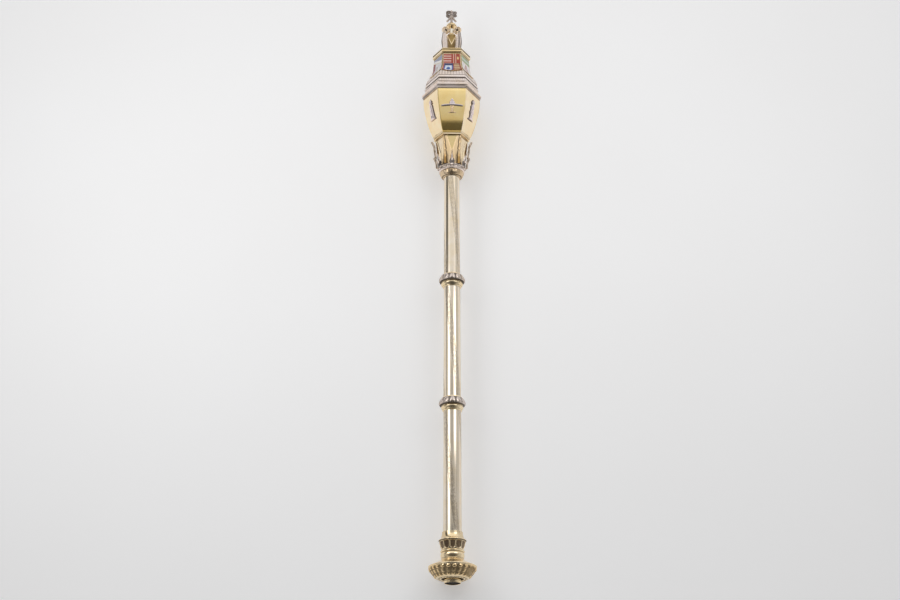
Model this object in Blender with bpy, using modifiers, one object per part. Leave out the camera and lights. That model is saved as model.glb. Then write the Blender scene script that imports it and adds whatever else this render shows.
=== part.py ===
"""A silver-gilt ceremonial mace, lying on a level surface.

The pieces are made upright, with the foot at height 0 and the staff's axis on Z, and hang on one
empty, which lays the mace down: the head points to +Y and a flat side of the cornice is underneath.
All sizes are in metres. A six-sided piece is sized by its corner radius, with corners at +X and -X.
"""

import math

import bmesh
import bpy
import numpy as np
from mathutils import Matrix

# Driving heights along the axis, measured from the foot.
BOSS_TOP = 0.0122
POMMEL_RIM = 0.0293
POMMEL_TOP = 0.0425
SPOOL_TOP = 0.0592
SOCKET_RIM = 0.0772
SOCKET_TOP = 0.0930
LOWER_KNOP = 0.3382
UPPER_KNOP = 0.5880
COLLAR_BOTTOM = 0.8080
COLLAR_TOP = 0.8195
NECK_BOTTOM = 0.8305
NECK_TOP = 0.8920
BOWL_TOP = 0.9862
CORNICE_TOP = 0.9962
FRIEZE_TOP = 1.0192
DRUM_TOP = 1.0785
UPPER_CORNICE_TOP = 1.0920
LANTERN_TOP = 1.1570
DOME_TOP = 1.1690
LENGTH = 1.2000

# Driving radii.
BOSS = 0.0153
STAFF_FOOT = 0.01725
STAFF_HEAD = 0.0155
KNOP = 0.0243
KNOP_RISE = 0.0115  # of a knop's top over its widest ring
KNOP_DROP = 0.0160  # and of its foot below it
POMMEL = 0.0445
SOCKET_WIDEST = 0.0254
BOWL_WIDEST = 0.0571
CORNICE = 0.0610
FRIEZE = 0.0545
DRUM_FOOT = 0.0526
DRUM_HEAD = 0.0345
UPPER_CORNICE = 0.0389
VOLUTE = 0.0084

GAP = 0.0003  # between pieces that touch
SIDES = 6
BRACKETS = 3
ROUND = 28  # faces round a turned piece
FLAT_SHARE = math.cos(math.pi / SIDES)  # a hexagon's distance across to a flat, over its corner radius

COLOURS = {
    "polished_gilt": ((0.83, 0.62, 0.27), 0.16, 1.0),
    "engraved_gilt": ((0.72, 0.58, 0.34), 0.3, 1.0),
    "antique_silver": ((0.72, 0.68, 0.64), 0.3, 1.0),
    "enamel": ((0.55, 0.06, 0.04), 0.12, 0.0),
}
CREASE = math.radians(35)  # edges that bend more than this are drawn sharp


def clear_scene():
    for piece in list(bpy.data.objects):
        bpy.data.objects.remove(piece, do_unlink=True)


def new_collection(name, hidden=False):
    collection = bpy.data.collections.new(name)
    bpy.context.scene.collection.children.link(collection)
    collection.hide_render = hidden
    return collection


def finish_of(slot, name):
    """A material of the piece's own, in the finish that COLOURS gives."""
    colour, roughness, metallic = COLOURS[slot]
    material = bpy.data.materials.new(f"{name}_{slot}")
    material.use_nodes = True
    shader = material.node_tree.nodes["Principled BSDF"]
    shader.inputs["Base Color"].default_value = (*colour, 1.0)
    shader.inputs["Roughness"].default_value = roughness
    shader.inputs["Metallic"].default_value = metallic
    return material


def add_piece(name, mesh, slot):
    """A part of the mace: an object in its collection, hung on the empty that lays the mace down."""
    mesh.shade_smooth()
    mesh.set_sharp_from_angle(angle=CREASE)
    mesh.materials.clear()
    mesh.materials.append(finish_of(slot, name))
    piece = bpy.data.objects.new(name, mesh)
    parts.objects.link(piece)
    piece.parent = lay_down
    return piece


def evaluated_mesh(source, name):
    """The object's mesh with its modifiers applied; the object itself goes."""
    bpy.context.view_layer.update()
    graph = bpy.context.evaluated_depsgraph_get()
    mesh = bpy.data.meshes.new_from_object(source.evaluated_get(graph))
    mesh.name = name
    bpy.data.objects.remove(source, do_unlink=True)
    return mesh


def turned_mesh(name, outline, sides=ROUND):
    """A solid turned about Z from (radius, height) points, given from top to bottom."""
    closed = [(0.0, outline[0][1]), *outline, (0.0, outline[-1][1])]
    points = [(radius, 0.0, height) for radius, height in closed]
    line = bpy.data.meshes.new(name + "_profile")
    line.from_pydata(points, [(i, i + 1) for i in range(len(points) - 1)], [])
    source = bpy.data.objects.new(name + "_profile", line)
    parts.objects.link(source)
    screw = source.modifiers.new("Turn", "SCREW")
    screw.steps = sides
    screw.render_steps = sides
    screw.use_merge_vertices = True
    screw.merge_threshold = 0.00002
    return evaluated_mesh(source, name)


def turned(name, outline, slot, sides=ROUND):
    return add_piece(name, turned_mesh(name, outline, sides), slot)


def arc(centre, radius, start, end, steps):
    """Points round part of a circle in the profile's plane, angles in degrees from outwards."""
    angles = np.radians(np.linspace(start, end, steps))
    return [(centre[0] + radius * math.cos(a), centre[1] + radius * math.sin(a)) for a in angles]


def smooth_run(points, steps):
    """A smooth run through a few (radius, height) points: a Catmull-Rom spline, steps to each span."""
    ends = [2 * np.array(points[0]) - points[1], 2 * np.array(points[-1]) - points[-2]]
    knots = np.array([ends[0], *points, ends[1]], float)
    run = []
    for i in range(1, len(knots) - 2):
        before, here, there, after = knots[i - 1 : i + 3]
        for t in np.linspace(0.0, 1.0, steps, endpoint=False):
            bend = -before + 3 * here - 3 * there + after
            lean = 2 * before - 5 * here + 4 * there - after
            run.append(0.5 * (2 * here + (there - before) * t + lean * t**2 + bend * t**3))
    return [tuple(p) for p in run] + [tuple(knots[-2])]


def corner_at(run, steps, height):
    """The radius of a smooth run at a height."""
    points = smooth_run(run, steps)[::-1]
    return np.interp(height, [h for _, h in points], [r for r, _ in points])


def lofted_mesh(name, rings):
    """A closed solid through rings of equally many points, capped by a fan at each end."""
    count = len(rings[0])
    points = [tuple(p) for ring in rings for p in ring]
    faces = []
    for r in range(len(rings) - 1):
        for i in range(count):
            j = (i + 1) % count
            here, above = r * count, (r + 1) * count
            faces.append((here + i, here + j, above + j, above + i))
    for ring in (0, len(rings) - 1):
        points.append(tuple(np.mean(rings[ring], axis=0)))
        for i in range(count):
            faces.append((ring * count + i, ring * count + (i + 1) % count, len(points) - 1))
    mesh = bpy.data.meshes.new(name)
    mesh.from_pydata(points, [], faces)
    fix_normals(mesh)
    return mesh


def fix_normals(mesh):
    """Joins points that coincide and turns every face outwards."""
    shape = bmesh.new()
    shape.from_mesh(mesh)
    bmesh.ops.remove_doubles(shape, verts=shape.verts, dist=0.00001)
    bmesh.ops.recalc_face_normals(shape, faces=shape.faces)
    shape.to_mesh(mesh)
    shape.free()


def cut(body_mesh, cutter_mesh, name, operation="DIFFERENCE"):
    """The first mesh with the second taken from it, or joined to it."""
    body = bpy.data.objects.new(name + "_body", body_mesh)
    cutter = bpy.data.objects.new(name + "_cutter", cutter_mesh)
    parts.objects.link(body)
    cutters.objects.link(cutter)
    cutter.hide_render = True
    cutter.display_type = "WIRE"
    boolean = body.modifiers.new("Cut", "BOOLEAN")
    boolean.operation = operation
    boolean.object = cutter
    mesh = evaluated_mesh(body, name)
    bpy.data.objects.remove(cutter, do_unlink=True)
    return mesh


def turned_about_z(mesh, angle):
    """A copy of the mesh, turned about the axis."""
    copy = mesh.copy()
    copy.transform(Matrix.Rotation(angle, 4, "Z"))
    return copy


def round_the_axis(mesh, count):
    """The mesh repeated round the axis, as one mesh of separate bodies."""
    shape = bmesh.new()
    for angle in turns(count):
        shape.from_mesh(turned_about_z(mesh, angle))
    joined = bpy.data.meshes.new(mesh.name + "_ring")
    shape.to_mesh(joined)
    shape.free()
    return joined


def turns(count, start=0.0):
    """Equal turns about the axis, in radians, from a start in degrees."""
    return [math.radians(start + 360 * i / count) for i in range(count)]


def place_round(name, meshes, slot, angles):
    """Numbered pieces, one for each turn about the axis, that use the meshes in order."""
    for i, angle in enumerate(angles):
        add_piece(f"{name}_{i + 1}", turned_about_z(meshes[i % len(meshes)], angle), slot)


# --- staff and foot ----------------------------------------------------------------------------


def make_foot_boss():
    """A short plug with a dished end."""
    dish = BOSS - 0.0013
    outline = [
        (BOSS + 0.0010, BOSS_TOP),
        (BOSS, BOSS_TOP - 0.0040),
        (BOSS, 0.0008),
        (BOSS - 0.0007, 0.0),
        (dish, 0.0),
        (dish - 0.0004, 0.0020),
    ]
    turned("foot_boss", outline, "polished_gilt")


def make_pommel():
    """A wide dish: leaning gadroons underneath, round a plain cone and a recess for the boss."""
    gadroons = 24
    angles = np.arange(gadroons * 3) * 2 * math.pi / (gadroons * 3)
    rim = POMMEL_RIM
    # Radius, height, depth of the gadroons there and how far they have leaned round by then.
    rows = [
        (0.0196, BOSS_TOP + GAP, 0.0, 0.0),
        (0.0206, 0.0078, 0.0, 0.0),
        (0.0214, 0.0072, 0.0, 0.0),
        (0.0318, 0.0098, 0.0, 0.0),
    ]
    band_foot, band_head = (0.0342, 0.0112), (0.0430, rim - 0.0022)
    for share in (0.0, 0.3, 0.7, 1.0):
        swell = math.sin(math.pi * share)
        radius = band_foot[0] + (band_head[0] - band_foot[0]) * share + 0.0014 * swell
        height = band_foot[1] + (band_head[1] - band_foot[1]) * share
        rows.append((radius, height, 0.0003 + 0.0008 * swell, 0.08 * share))
    rows += [
        (POMMEL, rim - 0.0010, 0.0, 0.0),
        (POMMEL, rim + 0.0006, 0.0, 0.0),
        (0.0330, rim + 0.0060, 0.0, 0.0),
        (0.0228, POMMEL_TOP - 0.0015, 0.0, 0.0),
        (0.0216, POMMEL_TOP, 0.0, 0.0),
    ]
    rings = []
    for radius, height, depth, lean in rows:
        reach = radius + depth * np.cos(gadroons * (angles - lean))
        ring = [reach * np.cos(angles), reach * np.sin(angles), np.full(len(angles), height)]
        rings.append(np.stack(ring, axis=1))
    add_piece("pommel", lofted_mesh("pommel", rings), "polished_gilt")


def make_spool():
    """The plain polished drum between the pommel and the socket, with a ring near its top."""
    drum = 0.0213
    ring = arc((drum - 0.0007, SPOOL_TOP - 0.0020), 0.0020, 70, -70, 5)
    outline = [(0.0204, SPOOL_TOP), *ring, (drum, 0.0540), (drum, 0.0455), (0.0217, POMMEL_TOP + GAP)]
    turned("spool", outline, "polished_gilt")


def make_socket():
    """A flared socket: twelve sunk panels, round at the bottom, under a rim and a hollow flare."""
    panels = 12
    waist, waist_height = 0.0204, SPOOL_TOP + 0.0008
    throat, throat_height = SOCKET_WIDEST - 0.0010, SOCKET_RIM - 0.0014
    flare = [(0.0190, SOCKET_TOP), (0.0196, 0.0875), (0.0216, 0.0815), (SOCKET_WIDEST, SOCKET_RIM + 0.0012)]
    sleeve = [(SOCKET_WIDEST, SOCKET_RIM), (throat, throat_height), (waist, waist_height)]
    outline = [*smooth_run(flare, 2), *sleeve, (waist, SPOOL_TOP + GAP)]
    body = turned_mesh("arcaded_socket", outline, panels * 3)
    # The cutter is a panel's outline, drawn flat and pushed in along the sleeve's slope.
    half, top = 0.0043, SOCKET_RIM - 0.0022
    bottom = waist_height + 0.0008
    shape = [(half + 0.0008, top), *arc((0.0, bottom + half), half, 0, -180, 6), (-half - 0.0008, top)]
    slope = (throat - waist) / (throat_height - waist_height)
    rings = []
    for depth in (-0.0010, 0.0040):
        ring = [(x, -(waist + (z - waist_height) * slope + depth), z) for x, z in shape]
        rings.append(np.array(ring))
    cutter = round_the_axis(lofted_mesh("panel", rings), panels)
    add_piece("arcaded_socket", cut(body, cutter, "arcaded_socket"), "polished_gilt")


def staff_radius(height):
    share = (height - SOCKET_TOP) / (COLLAR_BOTTOM - SOCKET_TOP)
    return STAFF_FOOT + (STAFF_HEAD - STAFF_FOOT) * share


def make_staff():
    """Three lengths of slightly tapering tube and the two knops over their joints."""
    lengths = {
        "shaft_lower": (SOCKET_TOP + GAP, LOWER_KNOP - KNOP_DROP - GAP),
        "shaft_middle": (LOWER_KNOP + KNOP_RISE + GAP, UPPER_KNOP - KNOP_DROP - GAP),
        "shaft_upper": (UPPER_KNOP + KNOP_RISE + GAP, COLLAR_BOTTOM - GAP),
    }
    for name, (foot, head) in lengths.items():
        outline = [(staff_radius(head), head), (staff_radius(foot), foot)]
        turned(name, outline, "engraved_gilt")
    for name, middle in {"knop_lower": LOWER_KNOP, "knop_upper": UPPER_KNOP}.items():
        tube = staff_radius(middle) + 0.0008
        outline = [
            (tube, middle + KNOP_RISE),
            (tube + 0.0016, middle + 0.0098),
            (0.0212, middle + 0.0066),
            (KNOP - 0.0010, middle + 0.0030),
            (KNOP, middle - 0.0004),
            (KNOP - 0.0004, middle - 0.0034),
            (0.0214, middle - 0.0054),
            (0.0210, middle - 0.0070),
            (0.0212, middle - 0.0092),
            (0.0200, middle - 0.0118),
            (tube + 0.0010, middle - 0.0146),
            (tube, middle - KNOP_DROP),
        ]
        turned(name, outline, "polished_gilt")


def make_collar():
    """The bell-shaped collar at the top of the staff."""
    outline = [
        (0.0236, COLLAR_TOP),
        (0.0240, COLLAR_TOP - 0.0012),
        (0.0236, COLLAR_TOP - 0.0036),
        (0.0228, COLLAR_TOP - 0.0062),
        (0.0212, COLLAR_TOP - 0.0086),
        (0.0180, COLLAR_BOTTOM + 0.0012),
        (0.0170, COLLAR_BOTTOM),
    ]
    turned("collar", outline, "polished_gilt")


# --- neck and its leaves -----------------------------------------------------------------------

NECK_RUN = [(0.0318, NECK_TOP), (0.0300, 0.8780), (0.0279, 0.8580), (0.0264, 0.8400), (0.0258, NECK_BOTTOM)]


def make_neck():
    """A six-sided calyx, hollow in outline, wider under the bowl."""
    turned("neck", smooth_run(NECK_RUN, 3), "polished_gilt", SIDES)


def flat_strip(name, heights, inner, outer, thickness):
    """A flat plate in the plane through the axis and +X, between an inner and an outer edge."""
    rings = []
    for height, near, far in zip(heights, inner, outer):
        ring = [(near, -thickness / 2, height), (far, -thickness / 2, height)]
        ring += [(far, thickness / 2, height), (near, thickness / 2, height)]
        rings.append(np.array(ring))
    return lofted_mesh(name, rings)


def short_leaf(name, foot, length, half_widths, foot_reach, tip_reach, thickness):
    """A pointed leaf at the front, on -Y, leaning out on a parabola from one reach to the other."""
    rings = []
    for share, width in zip(np.linspace(0.0, 1.0, len(half_widths)), half_widths):
        reach = foot_reach + (tip_reach - foot_reach) * share**2
        height = foot + length * share
        ring = [
            (width, -reach, height),
            (0.0, -(reach + thickness * 0.6), height),
            (-width, -reach, height),
            (0.0, -(reach - thickness), height),
        ]
        rings.append(np.array(ring))
    return lofted_mesh(name, rings)


def make_leaf_coronet():
    """A round silver band with a short pointed leaf standing from the middle of each side."""
    top = NECK_BOTTOM - GAP
    outline = [
        (0.0252, top),
        (0.0262, top - 0.0012),
        (0.0258, top - 0.0032),
        (0.0248, top - 0.0058),
        (0.0254, top - 0.0084),
        (0.0238, COLLAR_TOP + GAP),
    ]
    band = turned_mesh("leaf_coronet", outline)
    lobes = [0.0054, 0.0060, 0.0036, 0.0050, 0.0026, 0.0006]
    leaf = short_leaf("short_leaf", NECK_BOTTOM - 0.0030, 0.0280, lobes, 0.0262, 0.0375, 0.0012)
    leaves = round_the_axis(leaf, SIDES)
    add_piece("leaf_coronet", cut(band, leaves, "leaf_coronet", "UNION"), "antique_silver")


def make_corner_leaves():
    """Tall leaves, one on each corner of the neck, with three lobes that point up and out."""
    # Height over the leaf's foot and reach of its outer edge.
    edge = [
        (0.0000, 0.0284),
        (0.0140, 0.0302),
        (0.0158, 0.0284),
        (0.0340, 0.0328),
        (0.0364, 0.0306),
        (0.0490, 0.0318),
        (0.0597, 0.0350),
    ]
    heights = np.array([NECK_BOTTOM + GAP + rise for rise, _ in edge])
    outer = np.array([reach for _, reach in edge])
    inner = corner_at(NECK_RUN, 3, heights) + 0.0006
    inner[-1] = outer[-1] - 0.0008
    leaf = flat_strip("corner_leaf", heights, inner, outer, 0.0030)
    place_round("corner_leaf", [leaf], "antique_silver", turns(SIDES))


# --- bowl ---------------------------------------------------------------------------------------

BOWL_RUN = [
    (BOWL_WIDEST - 0.0004, BOWL_TOP),
    (BOWL_WIDEST, 0.9780),
    (0.0556, 0.9623),
    (0.0489, 0.9312),
    (0.0405, 0.9053),
    (0.0354, 0.8958),
]


def bowl_corner(height):
    """The bowl's corner radius at a height."""
    return corner_at(BOWL_RUN, 4, height)


def make_bowl():
    """The convex six-sided vase, on a small stepped ledge."""
    ledge = [(0.0360, 0.8948), (0.0360, 0.8934), (0.0340, NECK_TOP + GAP)]
    turned("bowl", smooth_run(BOWL_RUN, 4) + ledge, "polished_gilt", SIDES)


def strip_emblem(name, rows, thickness=0.0012):
    """A flat device that follows the bowl's front panel, from (height, half-width, drop at the tips).

    Each row runs straight across, or bends down towards its ends by the drop.
    """
    across = np.array([-1.0, -0.5, 0.0, 0.5, 1.0])
    rings = []
    for height, width, drop in rows:
        x = across * width
        z = height - drop * across**2
        seat = bowl_corner(z) * FLAT_SHARE + 0.0010
        back = np.stack([x, -seat, z], 1)
        front = np.stack([x, -(seat + thickness), z], 1)
        rings.append(np.concatenate([back, front[::-1]]))
    return lofted_mesh(name, rings)


def make_emblems():
    """Three devices, each on two opposite panels: a figure over an arched bar, a beacon and a tower.

    The rows run up from the device's foot: height over the foot, half-width, drop at the tips.
    """
    bar = 0.0222
    figure = [
        (0.0000, 0.0070, 0.0),
        (0.0016, 0.0070, 0.0),
        (0.0022, 0.0018, 0.0),
        (0.0150, 0.0026, 0.0),
        (0.0160, bar, 0.0022),
        (0.0180, bar, 0.0022),
        (0.0188, 0.0030, 0.0),
        (0.0225, 0.0034, 0.0),
        (0.0262, 0.0030, 0.0),
        (0.0295, 0.0008, 0.0),
    ]
    beacon = [
        (0.0000, 0.0095, 0.0),
        (0.0022, 0.0078, 0.0),
        (0.0110, 0.0050, 0.0),
        (0.0170, 0.0068, 0.0),
        (0.0230, 0.0042, 0.0),
        (0.0290, 0.0058, 0.0),
        (0.0335, 0.0030, 0.0),
        (0.0375, 0.0050, 0.0),
        (0.0420, 0.0040, 0.0),
        (0.0453, 0.0012, 0.0),
    ]
    tower = [
        (0.0000, 0.0095, 0.0),
        (0.0020, 0.0095, 0.0),
        (0.0035, 0.0076, 0.0),
        (0.0300, 0.0042, 0.0),
        (0.0335, 0.0024, 0.0),
        (0.0350, 0.0044, 0.0),
        (0.0385, 0.0044, 0.0),
        (0.0400, 0.0018, 0.0),
        (0.0453, 0.0008, 0.0),
    ]
    meshes = []
    for foot, device in ((0.9330, figure), (0.9280, beacon), (0.9280, tower)):
        meshes.append(strip_emblem("emblem", [(foot + rise, width, drop) for rise, width, drop in device]))
    place_round("panel_emblem", meshes, "antique_silver", turns(SIDES))


# --- cornice, frieze and drum --------------------------------------------------------------------


def make_main_cornice():
    outline = [
        (CORNICE - 0.0018, CORNICE_TOP),
        (CORNICE, CORNICE_TOP - 0.0012),
        (CORNICE, CORNICE_TOP - 0.0042),
        (CORNICE - 0.0012, CORNICE_TOP - 0.0052),
        (CORNICE - 0.0014, BOWL_TOP + GAP),
    ]
    turned("main_cornice", outline, "antique_silver", SIDES)


def make_frieze():
    """Stepped mouldings over the cornice: a sloping frieze, a ledge, a hollow and an upper ledge."""
    foot = CORNICE_TOP + GAP
    ledge = FRIEZE_TOP - 0.0091
    outline = [
        (FRIEZE - 0.0028, FRIEZE_TOP),
        (FRIEZE - 0.0010, FRIEZE_TOP - 0.0010),
        (FRIEZE - 0.0010, FRIEZE_TOP - 0.0052),
        (FRIEZE - 0.0036, FRIEZE_TOP - 0.0062),
        (FRIEZE - 0.0038, ledge + 0.0016),
        (FRIEZE, ledge),
        (FRIEZE, ledge - 0.0020),
        (FRIEZE - 0.0008, ledge - 0.0030),
        (FRIEZE + 0.0006, foot + 0.0050),
        (FRIEZE + 0.0040, foot),
    ]
    turned("frieze", outline, "antique_silver", SIDES)


DRUM_RUN = [
    (DRUM_HEAD, DRUM_TOP),
    (0.0362, 1.0620),
    (0.0376, 1.0500),
    (0.0402, 1.0420),
    (0.0450, 1.0350),
    (0.0505, 1.0282),
    (DRUM_FOOT, FRIEZE_TOP + GAP),
]


def drum_corner(height):
    """The drum's corner radius at a height."""
    return corner_at(DRUM_RUN, 3, height)


def make_drum():
    """The tapering six-sided drum, with a spreading skirt at its foot."""
    turned("drum", smooth_run(DRUM_RUN, 3), "antique_silver", SIDES)


def make_shields():
    """A shield on each side: straight at the top, following the skirt out to a point at the foot."""
    top, foot = DRUM_TOP - 0.0016, FRIEZE_TOP + 0.0097
    margin, thickness, widest, narrowing = 0.0006, 0.0009, 0.0480, 0.14
    shares = np.array([0.0, 0.03, 0.08, narrowing, 0.24, 0.38, 0.64, 1.0])
    rings = []
    for share in shares:
        height = foot + (top - foot) * share
        corner = drum_corner(height)
        taper = min(1.0, math.sqrt(share / narrowing))
        width = max(0.0010, (min(corner, widest) / 2 - margin) * taper)
        seat = corner * FLAT_SHARE + GAP
        corners = [(-width, seat), (width, seat), (width, seat + thickness), (-width, seat + thickness)]
        rings.append(np.array([(x, -out, height) for x, out in corners]))
    place_round("enamel_shield", [lofted_mesh("shield", rings)], "enamel", turns(SIDES))


def make_upper_cornice():
    outline = [
        (UPPER_CORNICE - 0.0090, UPPER_CORNICE_TOP),
        (UPPER_CORNICE - 0.0012, UPPER_CORNICE_TOP - 0.0024),
        (UPPER_CORNICE, UPPER_CORNICE_TOP - 0.0035),
        (UPPER_CORNICE, UPPER_CORNICE_TOP - 0.0088),
        (UPPER_CORNICE - 0.0018, UPPER_CORNICE_TOP - 0.0106),
        (UPPER_CORNICE - 0.0036, DRUM_TOP + GAP),
    ]
    turned("upper_cornice", outline, "polished_gilt", SIDES)


# --- lantern and finial --------------------------------------------------------------------------


def make_lantern_core():
    """A baluster: a spreading foot, a stout stem, a cup and a plain neck under the dome."""
    foot = UPPER_CORNICE_TOP + GAP
    outline = [
        (0.0050, LANTERN_TOP),
        (0.0050, 1.1405),
        (0.0094, 1.1378),
        (0.0090, 1.1340),
        (0.0082, 1.1290),
        (0.0080, 1.1120),
        (0.0080, 1.1035),
        (0.0094, foot + 0.0030),
        (0.0098, foot),
    ]
    turned("lantern_core", outline, "polished_gilt", 12)


def bracket_mesh(name):
    """A scroll in the plane through the axis and +X: a broad curved leg with a volute at the top."""
    foot = UPPER_CORNICE_TOP + GAP
    # Height over the foot, inner edge and outer edge.
    rows = [
        (0.0000, 0.0104, 0.0222),
        (0.0080, 0.0104, 0.0216),
        (0.0170, 0.0098, 0.0230),
        (0.0250, 0.0096, 0.0236),
        (0.0340, 0.0108, 0.0232),
        (0.0410, 0.0124, 0.0218),
        (0.0460, 0.0130, 0.0212),
        (0.0520, 0.0136, 0.0200),
    ]
    heights = [foot + row[0] for row in rows]
    leg = flat_strip(name, heights, [row[1] for row in rows], [row[2] for row in rows], 0.0034)
    shape = bmesh.new()
    bmesh.ops.create_cone(shape, cap_ends=True, segments=18, radius1=VOLUTE, radius2=VOLUTE, depth=0.0046)
    volute = bpy.data.meshes.new("volute")
    shape.to_mesh(volute)
    shape.free()
    centre = (VOLUTE + 0.0059, 0.0, LANTERN_TOP - VOLUTE - 0.0020)
    volute.transform(Matrix.Translation(centre) @ Matrix.Rotation(math.radians(90), 4, "X"))
    return cut(leg, volute, name, "UNION")


def make_brackets():
    """Three brackets, over alternate sides of the cornice."""
    place_round("scroll_bracket", [bracket_mesh("bracket")], "antique_silver", turns(BRACKETS, -30))


def make_dome_cap():
    foot = LANTERN_TOP + GAP
    outline = [(0.0030, DOME_TOP), *arc((0.0, foot + 0.0002), 0.0114, 70, 8, 5), (0.0118, foot)]
    turned("dome_cap", outline, "polished_gilt", 24)


def make_finial():
    """A splayed foot under a small knot."""
    outline = [
        (0.0030, LENGTH),
        (0.0085, LENGTH - 0.0040),
        (0.0100, LENGTH - 0.0085),
        (0.0062, LENGTH - 0.0125),
        (0.0040, LENGTH - 0.0155),
        (0.0066, LENGTH - 0.0215),
        (0.0094, LENGTH - 0.0290),
        (0.0088, DOME_TOP + GAP),
    ]
    turned("finial", outline, "antique_silver", 16)


clear_scene()
parts = new_collection("ceremonial_mace")
cutters = new_collection("cutters", hidden=True)
lay_down = bpy.data.objects.new("lay_down", None)
parts.objects.link(lay_down)

make_foot_boss()
make_pommel()
make_spool()
make_socket()
make_staff()
make_collar()
make_neck()
make_leaf_coronet()
make_corner_leaves()
make_bowl()
make_emblems()
make_main_cornice()
make_frieze()
make_drum()
make_shields()
make_upper_cornice()
make_lantern_core()
make_brackets()
make_dome_cap()
make_finial()

# The cornice's flat and the pommel's rim both lie on the ground, so the axis rises towards the head.
CORNICE_EDGE = CORNICE_TOP - 0.0042
slope = math.atan2(CORNICE * FLAT_SHARE - POMMEL, CORNICE_EDGE - POMMEL_RIM)
lay_down.rotation_euler = (math.radians(-90) + slope, 0.0, 0.0)
lay_down.location = (0.0, -LENGTH / 2, POMMEL * math.cos(slope) - POMMEL_RIM * math.sin(slope))
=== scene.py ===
"""A silver-gilt ceremonial mace: its fine pieces, their finishes and the studio that it lies in.

Every piece is worked out upright, with the foot at height 0, the axis on Z and the front on -Y, and
`laid_down` puts its points in place. An azimuth is measured from the front towards +X, and a six-sided
piece is sized by its corner radius. All sizes are in metres.
"""

import math

import bpy
import numpy as np
from mathutils import Matrix, Vector


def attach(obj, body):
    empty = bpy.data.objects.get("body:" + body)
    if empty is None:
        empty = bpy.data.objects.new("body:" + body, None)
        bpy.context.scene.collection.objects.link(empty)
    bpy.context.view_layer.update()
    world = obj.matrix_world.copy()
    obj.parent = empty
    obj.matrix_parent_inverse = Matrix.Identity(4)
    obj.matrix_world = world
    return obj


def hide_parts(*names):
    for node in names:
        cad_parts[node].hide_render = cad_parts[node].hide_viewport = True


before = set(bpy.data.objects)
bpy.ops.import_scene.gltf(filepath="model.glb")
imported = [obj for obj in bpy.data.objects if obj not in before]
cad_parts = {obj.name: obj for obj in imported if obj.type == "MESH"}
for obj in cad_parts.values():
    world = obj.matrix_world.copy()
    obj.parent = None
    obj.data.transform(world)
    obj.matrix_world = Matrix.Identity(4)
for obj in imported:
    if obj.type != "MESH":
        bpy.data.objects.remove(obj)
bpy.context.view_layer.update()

# --- driving sizes ------------------------------------------------------------------------------

# heights over the foot
BOSS_TOP = 0.0122
POMMEL_RIM = 0.0293
POMMEL_TOP = 0.0425
SPOOL_TOP = 0.0592
SOCKET_RIM = 0.0772
SOCKET_TOP = 0.0930
LOWER_KNOP = 0.3382
UPPER_KNOP = 0.5880
COLLAR_BOTTOM = 0.8080
COLLAR_TOP = 0.8195
NECK_BOTTOM = 0.8305
NECK_TOP = 0.8920
BOWL_TOP = 0.9862
CORNICE_TOP = 0.9962
FRIEZE_TOP = 1.0192
DRUM_TOP = 1.0785
UPPER_CORNICE_TOP = 1.0920
LANTERN_TOP = 1.1570
DOME_TOP = 1.1690
LENGTH = 1.2000

# radii, and how far parts stand out
BOSS = 0.0153
STAFF_FOOT = 0.01725
STAFF_HEAD = 0.0155
KNOP = 0.0243
KNOP_RISE = 0.0115  # of a knop's top over its widest ring
KNOP_DROP = 0.0160  # and of its foot below it
POMMEL = 0.0445
SOCKET_WIDEST = 0.0254
BOWL_WIDEST = 0.0571
CORNICE = 0.0610
FRIEZE = 0.0545
UPPER_CORNICE = 0.0389
VOLUTE = 0.0084
GAP = 0.0003  # between a piece and the next
CORE = 0.0030  # where the flat end of a piece stops short of the axis, hidden by its neighbour

# ornament: how many go round, and its own sizes
GADROONS = 24
SOCKET_PANELS = 12
KNOP_PETALS = 12
COLLAR_LOBES = 16
CORONET_LOZENGES = 18
DOME_RIBS = 12
RIBBONS = 3
RIBBON_TURN = 0.91  # how far up the staff a ribbon goes in one turn
RIBBON_START = 0.467  # the height at which one crosses the front
VINE_WAVE = 0.0220
DEVICE_FOOT = 0.9280
URN_FOOT = 0.9330
LEDGE_TOP = 0.9002  # of the vase's small ledge

# how the mace lies
SLOPE = 0.00865  # how far the axis rises towards the head, in radians
REST_HEIGHT = 0.04424  # of the foot's end of the axis over the sheet

FLAT_SHARE = math.cos(math.pi / 6)  # a hexagon's distance across to a flat, over its corner radius
TURN = 2 * math.pi

# outlines that a neighbour's shape follows too, as (radius, height) points
NECK_RUN = [(0.0258, NECK_BOTTOM), (0.0264, 0.8400), (0.0279, 0.8580), (0.0300, 0.8780), (0.0318, NECK_TOP)]
BOWL_RUN = [
    (0.0354, 0.8958), (0.0405, 0.9053), (0.0489, 0.9312), (0.0556, 0.9623), (BOWL_WIDEST, 0.9780),
    (BOWL_WIDEST - 0.0004, BOWL_TOP),
]
DRUM_RUN = [
    (0.0526, FRIEZE_TOP + GAP), (0.0505, 1.0282), (0.0450, 1.0350), (0.0402, 1.0420), (0.0376, 1.0500),
    (0.0362, 1.0620), (0.0345, DRUM_TOP),
]


# --- shapes: grids of points, and the shells made from them --------------------------------------


def laid_down(points):
    """Upright points in their place: the head goes to +Y, the front to +Z, and the axis rises by SLOPE."""
    x, y, z = np.moveaxis(points, -1, 0)
    rise, run = math.sin(SLOPE), math.cos(SLOPE)
    return np.stack([x, run * z + rise * y - LENGTH / 2, rise * z - run * y + REST_HEIGHT], -1)


def upright(radius, azimuth, height):
    """Points at a distance from the axis, an azimuth and a height."""
    parts = np.broadcast_arrays(radius * np.sin(azimuth), -radius * np.cos(azimuth), height)
    return np.stack(parts, -1)


def around(count):
    """Equal azimuths round the whole circle."""
    return np.arange(count) * TURN / count


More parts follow.
